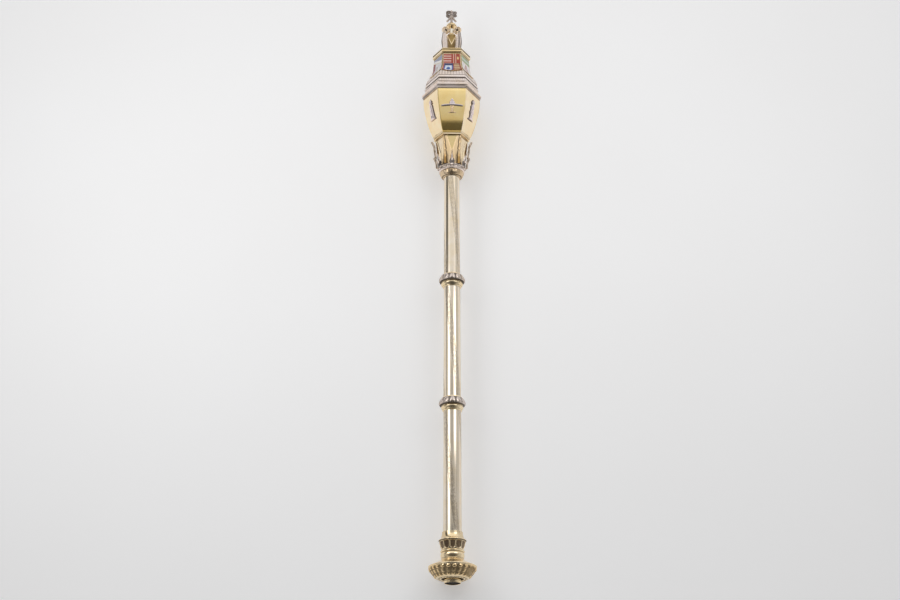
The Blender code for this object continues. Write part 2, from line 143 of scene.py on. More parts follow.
def step_up(value, low, high):
    """0 below low and 1 above high, with a smooth S between them: 3t^2 - 2t^3."""
    t = np.clip((value - low) / (high - low), 0, 1)
    return t * t * (3 - 2 * t)


def band(value, middle, half, edge):
    """1 within half of the middle, falling smoothly to 0 over the edge's width."""
    return 1 - step_up(np.abs(value - middle), half, half + edge)


def plateau(value, start, full, fading, end):
    """0 before start, 1 from full to fading and 0 after end, with a smooth S on each side."""
    return step_up(value, start, full) * (1 - step_up(value, fading, end))


def line(value, middle, width):
    """A soft line, drawn as a bell curve: e to the minus square of the distance over the width."""
    return np.exp(-((value - middle) / width) ** 2)


def domed(squares):
    """The height of a unit dome at a distance from its middle whose square is given, and 0 outside it."""
    return np.sqrt(np.clip(1 - squares, 0, 1))


def cell_place(azimuth, count):
    """Where an azimuth falls in its own one of the equal cells round the circle: -0.5 to 0.5, with 0 in the
    middle of a cell. The first cell's middle is at the front."""
    return (azimuth * count / TURN + 0.5) % 1 - 0.5


def washed(mask, change):
    """A change of colour, laid where the mask is."""
    return mask[..., None] * np.array(change)


def smooth_run(points, steps=8):
    """A run through the points: a cubic between each two, whose slope at a point is half the way between
    the points before and after it."""
    p = np.asarray(points, float)
    p = np.concatenate([[2 * p[0] - p[1]], p, [2 * p[-1] - p[-2]]])
    t = np.arange(steps)[None, :, None] / steps
    a, b, c, d = (p[k : len(p) - 3 + k, None] for k in range(4))
    run = 0.5 * (2 * b + (c - a) * t + (2 * a - 5 * b + 4 * c - d) * t**2 + (3 * b - 3 * c + d - a) * t**3)
    return np.concatenate([run.reshape(-1, p.shape[1]), p[-2:-1]])


def eased(points, radius=0.0004, steps=3):
    """An outline with its corners rounded: each becomes a parabola between the points one radius before
    and after it, or nearer on a short stretch."""
    p = np.asarray(points, float)
    leg = np.diff(p, axis=0)
    length = np.linalg.norm(leg, axis=1, keepdims=True)
    reach = np.minimum(radius, 0.45 * length)
    cut = np.minimum(reach[:-1], reach[1:])
    before, after = p[1:-1] - leg[:-1] / length[:-1] * cut, p[1:-1] + leg[1:] / length[1:] * cut
    t = np.linspace(0, 1, steps + 1)[None, :, None]
    curve = (1 - t) ** 2 * before[:, None] + 2 * t * (1 - t) * p[1:-1, None] + t**2 * after[:, None]
    return np.concatenate([p[:1], curve.reshape(-1, p.shape[1]), p[-1:]])


def fine(points, step, inside=0.0):
    """The same outline with points added, so that none is further than a step from the next. Between its
    two ends, points at a smaller radius than `inside` are left out: they lie on a flat hidden end."""
    p = np.asarray(points, float)
    way = np.concatenate([[0], np.cumsum(np.linalg.norm(np.diff(p, axis=0), axis=1))])
    stops = np.unique(np.concatenate([way, np.arange(0, way[-1], step)]).round(7))
    outline = np.stack([np.interp(stops, way, p[:, k]) for k in range(p.shape[1])], -1)
    kept = outline[:, 0] >= inside
    kept[0] = kept[-1] = True
    return outline[kept]


def bead(radius, height, size, start=-70, end=70, steps=8):
    """The outline of a half-round moulding: an arc of that size, its middle at a radius and a height."""
    a = np.radians(np.linspace(start, end, steps + 1))
    return np.stack([radius + size * np.cos(a), height + size * np.sin(a)], -1)


def turned(outline, sides):
    """Round rings: each (radius, height) of the outline is carried round the axis."""
    return upright(outline[:, :1], around(sides)[None], outline[:, 1:])


def six_sided(outline, across=14, arris=0.0005, bend=3):
    """Six-sided rings: straight sides between arcs of the arris radius, one at each corner. Also gives each
    point's distance from the middle of its side, and each column's side, counted from the front."""
    corner = np.radians(30 + 60 * np.arange(6))[None, :, None]
    swing = np.radians(np.linspace(-30, 30, bend + 1))[None, None]
    centre = (outline[:, 0] - arris / FLAT_SHARE)[:, None, None]
    x = centre * np.sin(corner) + arris * np.sin(corner + swing)
    y = -centre * np.cos(corner) - arris * np.cos(corner + swing)
    share = (np.arange(1, across) / across)[None, None]
    straight = [v[..., -1:] * (1 - share) + np.roll(v, -1, 1)[..., :1] * share for v in (x, y)]
    x, y = (np.concatenate([a, b], 2).reshape(len(outline), -1) for a, b in zip((x, y), straight))
    side = np.repeat(np.arange(1, 7) % 6, across + bend)
    middle = np.radians(60 * side)[None]
    grid = np.stack(np.broadcast_arrays(x, y, outline[:, 1:]), -1)
    return grid, x * np.cos(middle) + y * np.sin(middle), side


def outward(grid, looped=False):
    """The outward direction at each point: the step along the ring, crossed with the step to the next."""
    along = np.roll(grid, -1, 1) - np.roll(grid, 1, 1)
    up = np.roll(grid, -1, 0) - np.roll(grid, 1, 0) if looped else np.gradient(grid, axis=0)
    normal = np.cross(along, up)
    return normal / np.maximum(np.linalg.norm(normal, axis=-1, keepdims=True), 1e-12)


def raised(grid, relief, looped=False):
    """The grid's points moved outwards by the relief."""
    return grid + outward(grid, looped) * relief[..., None]


def turned_about(grid, azimuth):
    """A shape made at the front, turned about the axis to an azimuth."""
    x, y, z = np.moveaxis(grid, -1, 0)
    s, c = math.sin(azimuth), math.cos(azimuth)
    return np.stack([x * c - y * s, x * s + y * c, z], -1)


def tube(path, radius, sides=12, side_way=(1, 0, 0), looped=False):
    """Rings of a radius round a path: each lies across the path's own direction, which is crossed with
    side_way to find the ring's other axis."""
    path = np.asarray(path, float)
    ahead = np.roll(path, -1, 0) - np.roll(path, 1, 0) if looped else np.gradient(path, axis=0)
    ahead /= np.linalg.norm(ahead, axis=1, keepdims=True)
    over = np.cross(ahead, np.broadcast_to(side_way, path.shape))
    over /= np.linalg.norm(over, axis=1, keepdims=True)
    side = np.cross(over, ahead)
    a = around(sides)[None, :, None]
    size = np.broadcast_to(radius, len(path))[:, None, None]
    return path[:, None] + size * (side[:, None] * np.cos(a) + over[:, None] * np.sin(a))


def ball(centre, radius, rings=8, sides=12):
    """A ball as rings from its lowest point to its highest."""
    lean = np.radians(np.linspace(-80, 80, rings))[:, None]
    return np.asarray(centre) + upright(radius * np.cos(lean), around(sides)[None], radius * np.sin(lean))


def shell(grid, shade_and_soiling=0.0, matt=0.0, tint=(1.0, 1.0, 1.0), looped=False):
    """A closed shell: the grid's rings joined by four-sided faces, with a fan over each end, or the last
    ring joined to the first. The number after the grid is how far each point is painted dark: painted shade,
    and the soiling of real recesses. matt is how frosted the metal is, and tint is what the finish's colour
    is multiplied by, or the enamel's own colour."""
    rings, count = grid.shape[:2]
    i, j = np.meshgrid(np.arange(rings if looped else rings - 1), np.arange(count), indexing="ij")
    after, above = (j + 1) % count, (i + 1) % rings
    quads = np.stack([i * count + j, i * count + after, above * count + after, above * count + j], -1)
    points = grid.reshape(-1, 3)
    flat = [np.broadcast_to(v, grid.shape[:2]).ravel() for v in (shade_and_soiling, matt)]
    tint = np.broadcast_to(tint, grid.shape).reshape(-1, 3)
    fans = np.empty((0, 3), int)
    if not looped:
        foot, top, base = len(points), len(points) + 1, (rings - 1) * count
        here, there = np.arange(count), (np.arange(count) + 1) % count
        fans = np.concatenate([
            np.stack([np.full(count, foot), there, here], -1),
            np.stack([np.full(count, top), base + here, base + there], -1),
        ])
        points = np.concatenate([points, grid[0].mean(0)[None], grid[-1].mean(0)[None]])
        flat = [np.concatenate([v, v[:1], v[-1:]]) for v in flat]
        tint = np.concatenate([tint, tint[:1], tint[-1:]])
    return points, quads.reshape(-1, 4), fans, flat[0], flat[1], tint


def piece(name, node, shells, finish, crease=40.0):
    """An object made of closed shells, laid in place of a CAD node. Its finish is a material and the slot
    that it belongs to; the slot is not used here. Edges that bend more than the crease, in degrees, are
    drawn sharp."""
    material, slot = finish
    points, faces, sizes, start = [], [], [], 0
    for part in shells:
        points.append(part[0])
        for group in part[1:3]:
            faces.append((group + start).ravel())
            sizes.append(np.full(len(group), group.shape[1]))
        start += len(part[0])
    points, faces, sizes = laid_down(np.concatenate(points)), np.concatenate(faces), np.concatenate(sizes)
    mesh = bpy.data.meshes.new(name)
    mesh.vertices.add(len(points))
    mesh.vertices.foreach_set("co", points.astype(np.float32).ravel())
    mesh.loops.add(len(faces))
    mesh.loops.foreach_set("vertex_index", faces.astype(np.int32))
    mesh.polygons.add(len(sizes))
    mesh.polygons.foreach_set("loop_start", (np.cumsum(sizes) - sizes).astype(np.int32))
    # the first attribute is how far each point is painted dark, as shade and as soiling
    for label, place in (("shade_and_soiling", 3), ("matt", 4)):
        layer = mesh.attributes.new(label, "FLOAT", "POINT")
        layer.data.foreach_set("value", np.concatenate([part[place] for part in shells]).astype(np.float32))
    tint = np.concatenate([part[5] for part in shells])
    layer = mesh.attributes.new("tint", "FLOAT_COLOR", "POINT")
    layer.data.foreach_set("color", np.column_stack([tint, np.ones(len(tint))]).astype(np.float32).ravel())
    mesh.update(calc_edges=True)
    mesh.validate()
    mesh.shade_smooth()
    mesh.set_sharp_from_angle(angle=math.radians(crease))
    mesh.materials.append(material)
    made = bpy.data.objects.new(name, mesh)
    bpy.context.scene.collection.objects.link(made)
    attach(made, "root")
    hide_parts(node)
    return made


# --- finishes -----------------------------------------------------------------------------------


def colour_of(code):
    """A colour in linear light from its sRGB hex code: each channel over 255, to the power that undoes the
    display's curve."""
    channel = np.array([int(code[k : k + 2], 16) for k in (1, 3, 5)]) / 255
    return tuple(np.where(channel < 0.04045, channel / 12.92, ((channel + 0.055) / 1.055) ** 2.4))


def rgba(code):
    """The same colour with full cover, as a node's colour socket takes it."""
    return (*colour_of(code), 1.0)


def add(tree, kind, inputs=None, **settings):
    """A node of that kind, with its own settings. An input is a plain value, or another node's output."""
    made = tree.nodes.new("ShaderNode" + kind)
    for key, value in settings.items():
        setattr(made, key, value)
    for key, value in (inputs or {}).items():
        if isinstance(value, bpy.types.NodeSocket):
            tree.links.new(value, made.inputs[key])
        else:
            made.inputs[key].default_value = value
    return made


def new_finish(name):
    """An empty material, and its tree of nodes."""
    finish = bpy.data.materials.new(name)
    finish.use_nodes = True
    finish.node_tree.nodes.clear()
    return finish, finish.node_tree


def metal_finish(name, bright, warm, shade_and_soiling_colour, polish, frosted, marks):
    """Wrought metal. Cloudy patches 25 mm wide turn the bright colour towards the warm one. Where a piece
    marks it, the colour is darkened in patches towards the dark one, and the metal made rougher and less
    metallic: this is painted shade, and the soiling of real recesses. Turning marks 0.4 mm apart and small
    knocks 5 mm apart break the polish. Frosted places are rougher, with a grain of 0.7 mm, which is coarser
    than a real punch's, so that it shows. polish and frosted are roughnesses, and marks is the depth of the
    marks in metres."""
    finish, tree = new_finish(name)
    place = add(tree, "TexCoord").outputs["Object"]
    along = add(tree, "Mapping", {"Vector": place, "Rotation": (SLOPE, 0, 0), "Scale": (40, 2600, 40)})
    cloud = add(tree, "TexNoise", {"Vector": place, "Scale": 40.0, "Detail": 5.0, "Roughness": 0.6})
    rings = add(tree, "TexNoise", {"Vector": along.outputs[0], "Scale": 1.0, "Detail": 3.0})
    grain = add(tree, "TexNoise", {"Vector": place, "Scale": 1500.0, "Detail": 4.0, "Roughness": 0.65})
    knocks = add(tree, "TexVoronoi", {"Vector": place, "Scale": 210.0}, feature="DISTANCE_TO_EDGE")
    shade_and_soiling = add(tree, "Attribute", attribute_name="shade_and_soiling").outputs["Fac"]
    matt = add(tree, "Attribute", attribute_name="matt").outputs["Fac"]

    clouds = add(tree, "MapRange", {"Value": cloud.outputs[0], "From Min": 0.38, "From Max": 0.66})
    clean = add(tree, "Mix", {0: clouds.outputs[0], 6: rgba(bright), 7: rgba(warm)}, data_type="RGBA")
    wash = add(tree, "Attribute", attribute_name="tint").outputs["Color"]
    metal = add(tree, "Mix", {0: 1.0, 6: clean.outputs[2], 7: wash},
                data_type="RGBA", blend_type="MULTIPLY")
    frost = add(tree, "Math", {0: grain.outputs[0], 1: matt}, operation="MULTIPLY")
    dusted = add(tree, "Mix", {0: frost.outputs[0], 6: metal.outputs[2], 7: rgba(shade_and_soiling_colour)}, data_type="RGBA")
    # the painted shade and soiling vary in cloudy patches
    patchy_darkening = add(tree, "MapRange", {"Value": cloud.outputs[0], "From Min": 0.3, "From Max": 0.7,
                                   "To Min": 0.75, "To Max": 1.1})
    # depth is how far a point is painted dark, as shade and as soiling
    depth = add(tree, "Math", {0: shade_and_soiling, 1: patchy_darkening.outputs[0]}, operation="MULTIPLY", use_clamp=True)
    colour = add(tree, "Mix", {0: depth.outputs[0], 6: dusted.outputs[2], 7: rgba(shade_and_soiling_colour)}, data_type="RGBA")

    hair = add(tree, "MapRange", {"Value": rings.outputs[0], "From Min": 0.35, "From Max": 0.75,
                                  "To Min": polish * 0.75, "To Max": polish * 1.6})
    worn = add(tree, "Mix", {0: matt, 2: hair.outputs[0], 3: frosted}, data_type="FLOAT")
    rough = add(tree, "Mix", {0: depth.outputs[0], 2: worn.outputs[0], 3: 0.62}, data_type="FLOAT")

    bare = add(tree, "MapRange", {"Value": depth.outputs[0], "From Min": 0.3,
                                  "To Min": 1.0, "To Max": 0.25})
    pits = add(tree, "MapRange", {"Value": knocks.outputs["Distance"], "From Max": 0.05, "To Min": -0.5,
                                  "To Max": 0.0})
    graining = add(tree, "Math", {0: frost.outputs[0], 1: 3.0, 2: rings.outputs[0]},
                   operation="MULTIPLY_ADD")
    relief = add(tree, "Math", {0: graining.outputs[0], 1: pits.outputs[0]}, operation="ADD")
    bump = add(tree, "Bump", {"Strength": 1.0, "Distance": marks, "Height": relief.outputs[0]})
    skin = add(tree, "BsdfPrincipled", {
        "Base Color": colour.outputs[2], "Metallic": bare.outputs[0], "Roughness": rough.outputs[0],
        "Normal": bump.outputs[0],
    })
    add(tree, "OutputMaterial", {"Surface": skin.outputs[0]})
    return finish


def enamel_finish(name):
    """Fired enamel between gilt wires: the piece's own colours, mottled over 6 mm and flecked at 0.4 mm,
    under a hard gloss with a faint orange peel. matt marks the wires, which are bare gilt metal."""
    finish, tree = new_finish(name)
    place = add(tree, "TexCoord").outputs["Object"]
    mottle = add(tree, "TexNoise", {"Vector": place, "Scale": 160.0, "Detail": 5.0, "Roughness": 0.65})
    flecks = add(tree, "TexNoise", {"Vector": place, "Scale": 2400.0, "Detail": 2.0})
    paint = add(tree, "Attribute", attribute_name="tint").outputs["Color"]
    wire = add(tree, "Attribute", attribute_name="matt").outputs["Fac"]
    tone = add(tree, "MapRange", {"Value": mottle.outputs[0], "From Min": 0.3, "From Max": 0.7,
                                  "To Min": 0.86, "To Max": 1.12})
    fleck = add(tree, "MapRange", {"Value": flecks.outputs[0], "From Min": 0.35, "From Max": 0.7,
                                   "To Min": 0.92, "To Max": 1.08})
    both = add(tree, "Math", {0: tone.outputs[0], 1: fleck.outputs[0]}, operation="MULTIPLY")
    glass = add(tree, "VectorMath", {0: paint, "Scale": both.outputs[0]}, operation="SCALE")
    colour = add(tree, "Mix", {0: wire, 6: glass.outputs[0], 7: rgba("#E9CE92")}, data_type="RGBA")
    shine = add(tree, "Mix", {0: wire, 2: 0.16, 3: 0.24}, data_type="FLOAT")
    peel = add(tree, "Bump", {"Strength": 0.6, "Distance": 0.00004, "Height": mottle.outputs[0]})
    skin = add(tree, "BsdfPrincipled", {
        "Base Color": colour.outputs[2], "Metallic": wire, "Roughness": shine.outputs[0],
        "Coat Weight": 0.35, "Coat Roughness": 0.05, "Normal": peel.outputs[0],
    })
    add(tree, "OutputMaterial", {"Surface": skin.outputs[0]})
    return finish


def sheet_finish(name):
    """The studio's matt sheet: nearly white, faintly uneven over 300 mm, with a 0.5 mm tooth. It is
    translucent and lit a little from below, which softens the shadows on it."""
    finish, tree = new_finish(name)
    place = add(tree, "TexCoord").outputs["Object"]
    drift = add(tree, "TexNoise", {"Vector": place, "Scale": 3.0, "Detail": 2.0})
    tooth = add(tree, "TexNoise", {"Vector": place, "Scale": 2000.0, "Detail": 3.0})
    colour = add(tree, "Mix", {0: drift.outputs[0], 6: rgba("#EDEDEE"), 7: rgba("#E9E8E8")},
                 data_type="RGBA")
    bump = add(tree, "Bump", {"Strength": 0.2, "Distance": 0.0001, "Height": tooth.outputs[0]})
    skin = add(tree, "BsdfPrincipled", {
        "Base Color": colour.outputs[2], "Roughness": 0.9, "Normal": bump.outputs[0],
        "Emission Color": (1.0, 1.0, 1.0, 1.0), "Emission Strength": 0.30,
    })
    add(tree, "OutputMaterial", {"Surface": skin.outputs[0]})
    return finish


# In each finish the third colour is the dark one: it paints shade, and the soiling of recesses.
# Each finish is a material and its slot. Silver, turned and burnished, then fire-gilt: a warm mirror, with
# the marks of the lathe and of handling running round it.
POLISHED_GILT = (
    metal_finish("polished_silver_gilt", "#FAE6C2", "#F6DDB0", "#24160A", 0.08, 0.34, 0.000005),
    "polished_gilt",
)
# The same gilding, worn paler by hands, over engraved ribbons whose ground is frosted with a matting punch.
ENGRAVED_GILT = (
    metal_finish("engraved_silver_gilt", "#F3E6D3", "#EFDEC2", "#5A4A34", 0.06, 0.36, 0.000005),
    "engraved_gilt",
)
# Cast and chased silver, thinly gilt in places, with years of tarnish left in its hollows.
CAST_SILVER = (
    metal_finish("cast_antique_silver", "#F2E4DC", "#EBD8C6", "#241A14", 0.18, 0.40, 0.000012),
    "antique_silver",
)
# Coloured glass, fired on to metal between wires and rubbed down flush.
ENAMEL = (enamel_finish("fired_enamel"), "enamel")
# A roll of matt background paper.
SHEET = sheet_finish("background_paper")


# --- foot ---------------------------------------------------------------------------------------
#
# A piece's grid has a row for each point of its outline and a column for each azimuth. A height or a radius
# is one value to a row, an azimuth one to a column, and adding 0 * azimuth spreads a row's value along it.


def make_end_boss():
    """A short plug, with a groove round it and a sunk end that is painted dark as shade."""
    outline = fine(eased([
        (0.0015, 0.0024), (0.0120, 0.0024), (0.0137, 0.0018), (0.0141, 0.0002), (0.0148, 0.0000),
        (BOSS, 0.0008), (BOSS, 0.0042), (BOSS - 0.0005, 0.0047), (BOSS, 0.0052), (BOSS, 0.0085),
        (BOSS + 0.0010, BOSS_TOP - 0.0006), (BOSS + 0.0008, BOSS_TOP), (0.0020, BOSS_TOP),
    ], 0.0003), 0.0008, 0.0115)
    grid = turned(outline, 96)
    # painted shade darkens the sunk end, the groove and where the boss goes into the pommel
    sunk = (outline[:, 0] < 0.0139) & (outline[:, 1] < 0.003)
    groove = band(outline[:, 1], 0.0047, 0.0001, 0.0004) * (outline[:, 0] > 0.014)
    joint = step_up(outline[:, 1], 0.0098, 0.0118)
    dark = np.maximum.reduce([sunk * 1.3, groove * 0.6, joint])[:, None]
    piece("end_boss", "foot_boss", [shell(grid, dark)], POLISHED_GILT)


def make_gadrooned_pommel():
    """A wide dish. Underneath, leaning lobes run out from a ring of small beads. Each is the cosine of its
    place in its cell, pinched at two waists and ending in a pearl, a dome. Two smooth ovals break the ring.
    The shoulder over the rim is a little frosted and paler."""
    rim, columns = POMMEL_RIM, 13 * GADROONS
    foot, head = np.array((0.0296, 0.0093)), np.array((0.0430, rim - 0.0022))
    t = np.linspace(0, 1, 30)
    swell = np.sin(np.pi * t)
    curve = foot + (head - foot) * t[:, None] + np.stack([0.0016 * swell, -0.0006 * swell], -1)
    under = fine(eased([
        (0.0190, BOSS_TOP + GAP), (0.0197, 0.0084), (0.0203, 0.0074), (0.0214, 0.0070), (0.0222, 0.0076),
        (0.0232, 0.0072), (0.0262, 0.0078), (0.0275, 0.0084), (0.0286, 0.0088),
    ], 0.0004), 0.0007)
    over = fine(eased([
        (POMMEL - 0.0007, rim - 0.0018), (POMMEL, rim - 0.0008), (POMMEL, rim + 0.0004),
        (POMMEL - 0.0012, rim + 0.0014), (0.0418, rim + 0.0018), (0.0330, rim + 0.0060),
        (0.0228, POMMEL_TOP - 0.0015), (0.0216, POMMEL_TOP), (CORE, POMMEL_TOP),
    ], 0.0005), 0.0014, 0.0205)
    outline = np.concatenate([under, curve, over])
    share = np.full(len(outline), -1.0)
    share[len(under) : len(under) + len(t)] = t
    share, azimuth = share[:, None], around(columns)[None]
    radius, height = outline[:, :1], outline[:, 1:]
    lobe = azimuth * GADROONS / TURN - 0.30 * share
    off = (lobe + 0.5) % 1 - 0.5
    inside = plateau(share, 0.0, 0.06, 0.95, 1.0) * (share >= 0)
    ribs = (np.abs(np.cos(np.pi * lobe)) ** 0.8 - 0.45) * 0.0014
    pearl_out = domed((off / 0.36) ** 2 + ((share - 0.84) / 0.13) ** 2) * 0.0018
    pearl_in = domed((off / 0.32) ** 2 + ((share - 0.15) / 0.11) ** 2) * 0.0015
    waists = band(share, 0.70, 0.01, 0.07) + band(share, 0.29, 0.01, 0.06)
    work = np.maximum.reduce([ribs - waists * 0.0012, pearl_out, pearl_in])
    turned_off = (azimuth - math.radians(55) + TURN / 4) % (TURN / 2) - TURN / 4
    oval = (turned_off / 0.20) ** 2 + ((share - 0.5) / 0.47) ** 2
    within, frame_line = 1 - step_up(oval, 0.80, 0.92), line(oval, 1.04, 0.10)
    work = work * step_up(oval, 0.95, 1.15) + within * 0.0007 * np.clip(1 - oval, 0, 1) + frame_line * 0.0006
    under_side = height < 0.010
    beads = domed((cell_place(azimuth, GADROONS) / 0.34) ** 2 + ((radius - 0.0247) / 0.0013) ** 2)
    grid = raised(turned(outline, columns), work * inside + beads * 0.0008 * under_side)
    low = np.clip(1.15 - (work + 0.0006) / 0.0013, 0, 1) * step_up(oval, 0.95, 1.1)
    ditch = band(radius, 0.0247, 0.0015, 0.0006) * under_side * (1 - np.clip(beads * 2.5, 0, 1))
    recess = (radius < 0.0203) & (height > 0.0078) & (height < 0.013)
    # painted shade between the lobes, on the ovals' frames, in the ditch round the beads and in the recess
    # round the boss; the ovals are darker inside
    dark = np.maximum.reduce([
        inside * np.maximum.reduce([low, 0.60 * within, 0.8 * frame_line]),
        ditch * 0.75, recess * 0.95 + 0 * azimuth,
    ])
    shoulder = step_up(height, rim + 0.0016, rim + 0.0022) + 0 * azimuth
    tint = 1 - washed(inside, (0.0, 0.10, 0.26)) + washed(shoulder, (0.14, 0.16, 0.24))
    piece("gadrooned_pommel", "pommel", [shell(grid, dark, 0.3 * shoulder, tint)], POLISHED_GILT)


def make_spool():
    """A plain burnished drum between fillets, with a ring near its top."""
    outline = fine(eased([
        (CORE, POMMEL_TOP + GAP), (0.0214, POMMEL_TOP + GAP), (0.0216, 0.0438), (0.0206, 0.0446),
        *bead(0.0142, 0.0498, 0.0078, -33, 33, 12), (0.0206, 0.0546), (0.0204, 0.0552),
        *bead(0.0207, SPOOL_TOP - 0.0021, 0.0017, -65, 65, 7), (0.0204, SPOOL_TOP), (CORE, SPOOL_TOP),
    ], 0.0003), 0.0007, 0.0195)
    height, radius = outline[:, 1], outline[:, 0]
    lines = band(height, 0.0549, 0.0002, 0.0004) + band(height, 0.0447, 0.0002, 0.0004)
    dark = (lines * 0.7 * (radius > 0.018))[:, None]
    piece("spool_drum", "spool", [shell(turned(outline, 96), dark)], POLISHED_GILT)


def make_arcaded_socket():
    """A flared sleeve. Panels are sunk in it, straight at the sides and round at the bottom, each with a
    thin lip: a point's depth follows its distance from that outline. Above are a rim and a concave flare.
    The sunk panels are painted darker and browner, and a band just under the rim darker, as shade."""
    columns = 18 * SOCKET_PANELS
    waist, throat = 0.0204, SOCKET_WIDEST - 0.0010
    low, high = SPOOL_TOP + 0.0008, SOCKET_RIM - 0.0014
    flare = smooth_run([
        (SOCKET_WIDEST - 0.0003, SOCKET_RIM + 0.0008), (0.0216, 0.0815), (0.0196, 0.0875),
        (0.0190, SOCKET_TOP),
    ], 8)
    rim = eased([
        (throat + 0.0002, high + 0.0003), (SOCKET_WIDEST, SOCKET_RIM - 0.0004),
        (SOCKET_WIDEST, SOCKET_RIM + 0.0002), (SOCKET_WIDEST - 0.0003, SOCKET_RIM + 0.0006),
    ], 0.0003)
    outline = np.concatenate([
        fine(eased([(CORE, SPOOL_TOP + GAP), (waist, SPOOL_TOP + GAP), (waist, low)]), 0.0008, 0.0195),
        fine([(waist, low), (throat, high)], 0.0006)[1:],
        rim, fine(flare, 0.0010), fine([(0.0186, SOCKET_TOP), (CORE, SOCKET_TOP)], 0.02),
    ])
    radius, height, azimuth = outline[:, :1], outline[:, 1:], around(columns)[None]
    sleeve = (height > low) * (height < high)
    off = cell_place(azimuth, SOCKET_PANELS) * TURN / SOCKET_PANELS * radius
    half = 0.0043 + 0.0009 * (height - low) / (high - low)
    round_end = np.hypot(off, np.minimum(height - (low + 0.0051), 0)) - half
    edge = np.maximum(round_end, height - (SOCKET_RIM - 0.0026))
    sunk = (1 - step_up(edge, -0.0007, 0.0001)) * sleeve
    lip = line(edge, 0.0004, 0.0003) * 0.00025 * sleeve
    grid = raised(turned(outline, columns), lip - 0.0011 * sunk)
    # painted shade in the sunk panels and under the rim
    under_rim = step_up(height, high - 0.0014, high) * (height < SOCKET_RIM - 0.0002)
    dark = np.maximum(sunk * 0.8464, under_rim * 0.874)
    frosted = step_up(height, SOCKET_RIM + 0.0010, SOCKET_RIM + 0.0020) * 0.3 + 0 * azimuth
    tint = 1 - washed(sunk, (0.0, 0.12, 0.16))
    piece("arcaded_sleeve", "arcaded_socket", [shell(grid, dark, frosted, tint)], POLISHED_GILT)


# --- staff --------------------------------------------------------------------------------------


def staff_radius(height):
    """The staff tapers evenly from the socket to the collar."""
    return STAFF_FOOT + (STAFF_HEAD - STAFF_FOOT) * (height - SOCKET_TOP) / (COLLAR_BOTTOM - SOCKET_TOP)


def ribbon_work(azimuth, height, radius):
    """Ribbons wind up the staff, evenly spaced. In a ribbon, a vine swings from side to side as a sine wave,
    and a curled leaf fills each bend: a spiral, the cosine of its distance from the bend's middle less its
    angle. Gives the relief, how much of the frosted ground shows, and the border lines."""
    half = 0.0052
    wound = azimuth + (height - RIBBON_START) * TURN / RIBBON_TURN
    off = cell_place(wound, RIBBONS) * TURN / RIBBONS * radius
    reach = np.abs(off)
    inside = 1 - step_up(reach, half - 0.0003, half + 0.0001)
    lines = line(reach, half, 0.00035) + 0.6 * line(reach, half - 0.0011, 0.0003)
    phase = height / VINE_WAVE * TURN
    vine = line(off, 0.0024 * np.sin(phase), 0.00050)
    bend = np.round((phase - TURN / 4) / (TURN / 2))
    side = np.where(bend % 2 == 0, -1.0, 1.0)
    x, z = off - side * 0.0009, height - (bend / 2 + 1 / 4) * VINE_WAVE
    away = np.hypot(x, z)
    curl = 0.5 + 0.5 * np.cos(away / 0.0017 * TURN - np.arctan2(z, x * side))
    curl = curl * (1 - step_up(away, 0.0028, 0.0038))
    work = np.maximum(vine, curl * 0.9) * (1 - step_up(reach, half - 0.0012, half - 0.0009))
    relief = inside * (0.00009 * work - 0.00005) - 0.00006 * lines
    return relief, inside * (1 - 0.75 * work), lines


def make_shaft(name, node, foot, head):
    """One length of tube, with the ribbons winding up it. They fade out over the last 2 mm at each end, so
    that the ends are true circles under the knops."""
    fading = 0.002
    height = np.linspace(foot, head, round((head - foot) / 0.0012))[:, None]
    radius, azimuth = staff_radius(height), around(144)[None]
    relief, frosted, lines = ribbon_work(azimuth, height, radius)
    fade = plateau(height, foot, foot + fading, head - fading, head)
    grid = upright(radius + relief * fade, azimuth, height)
    dark = np.clip(lines * 0.12 + frosted * 0.08, 0, 1) * fade
    piece(name, node, [shell(grid, dark, 0.6 * frosted * fade)], ENGRAVED_GILT, 60)


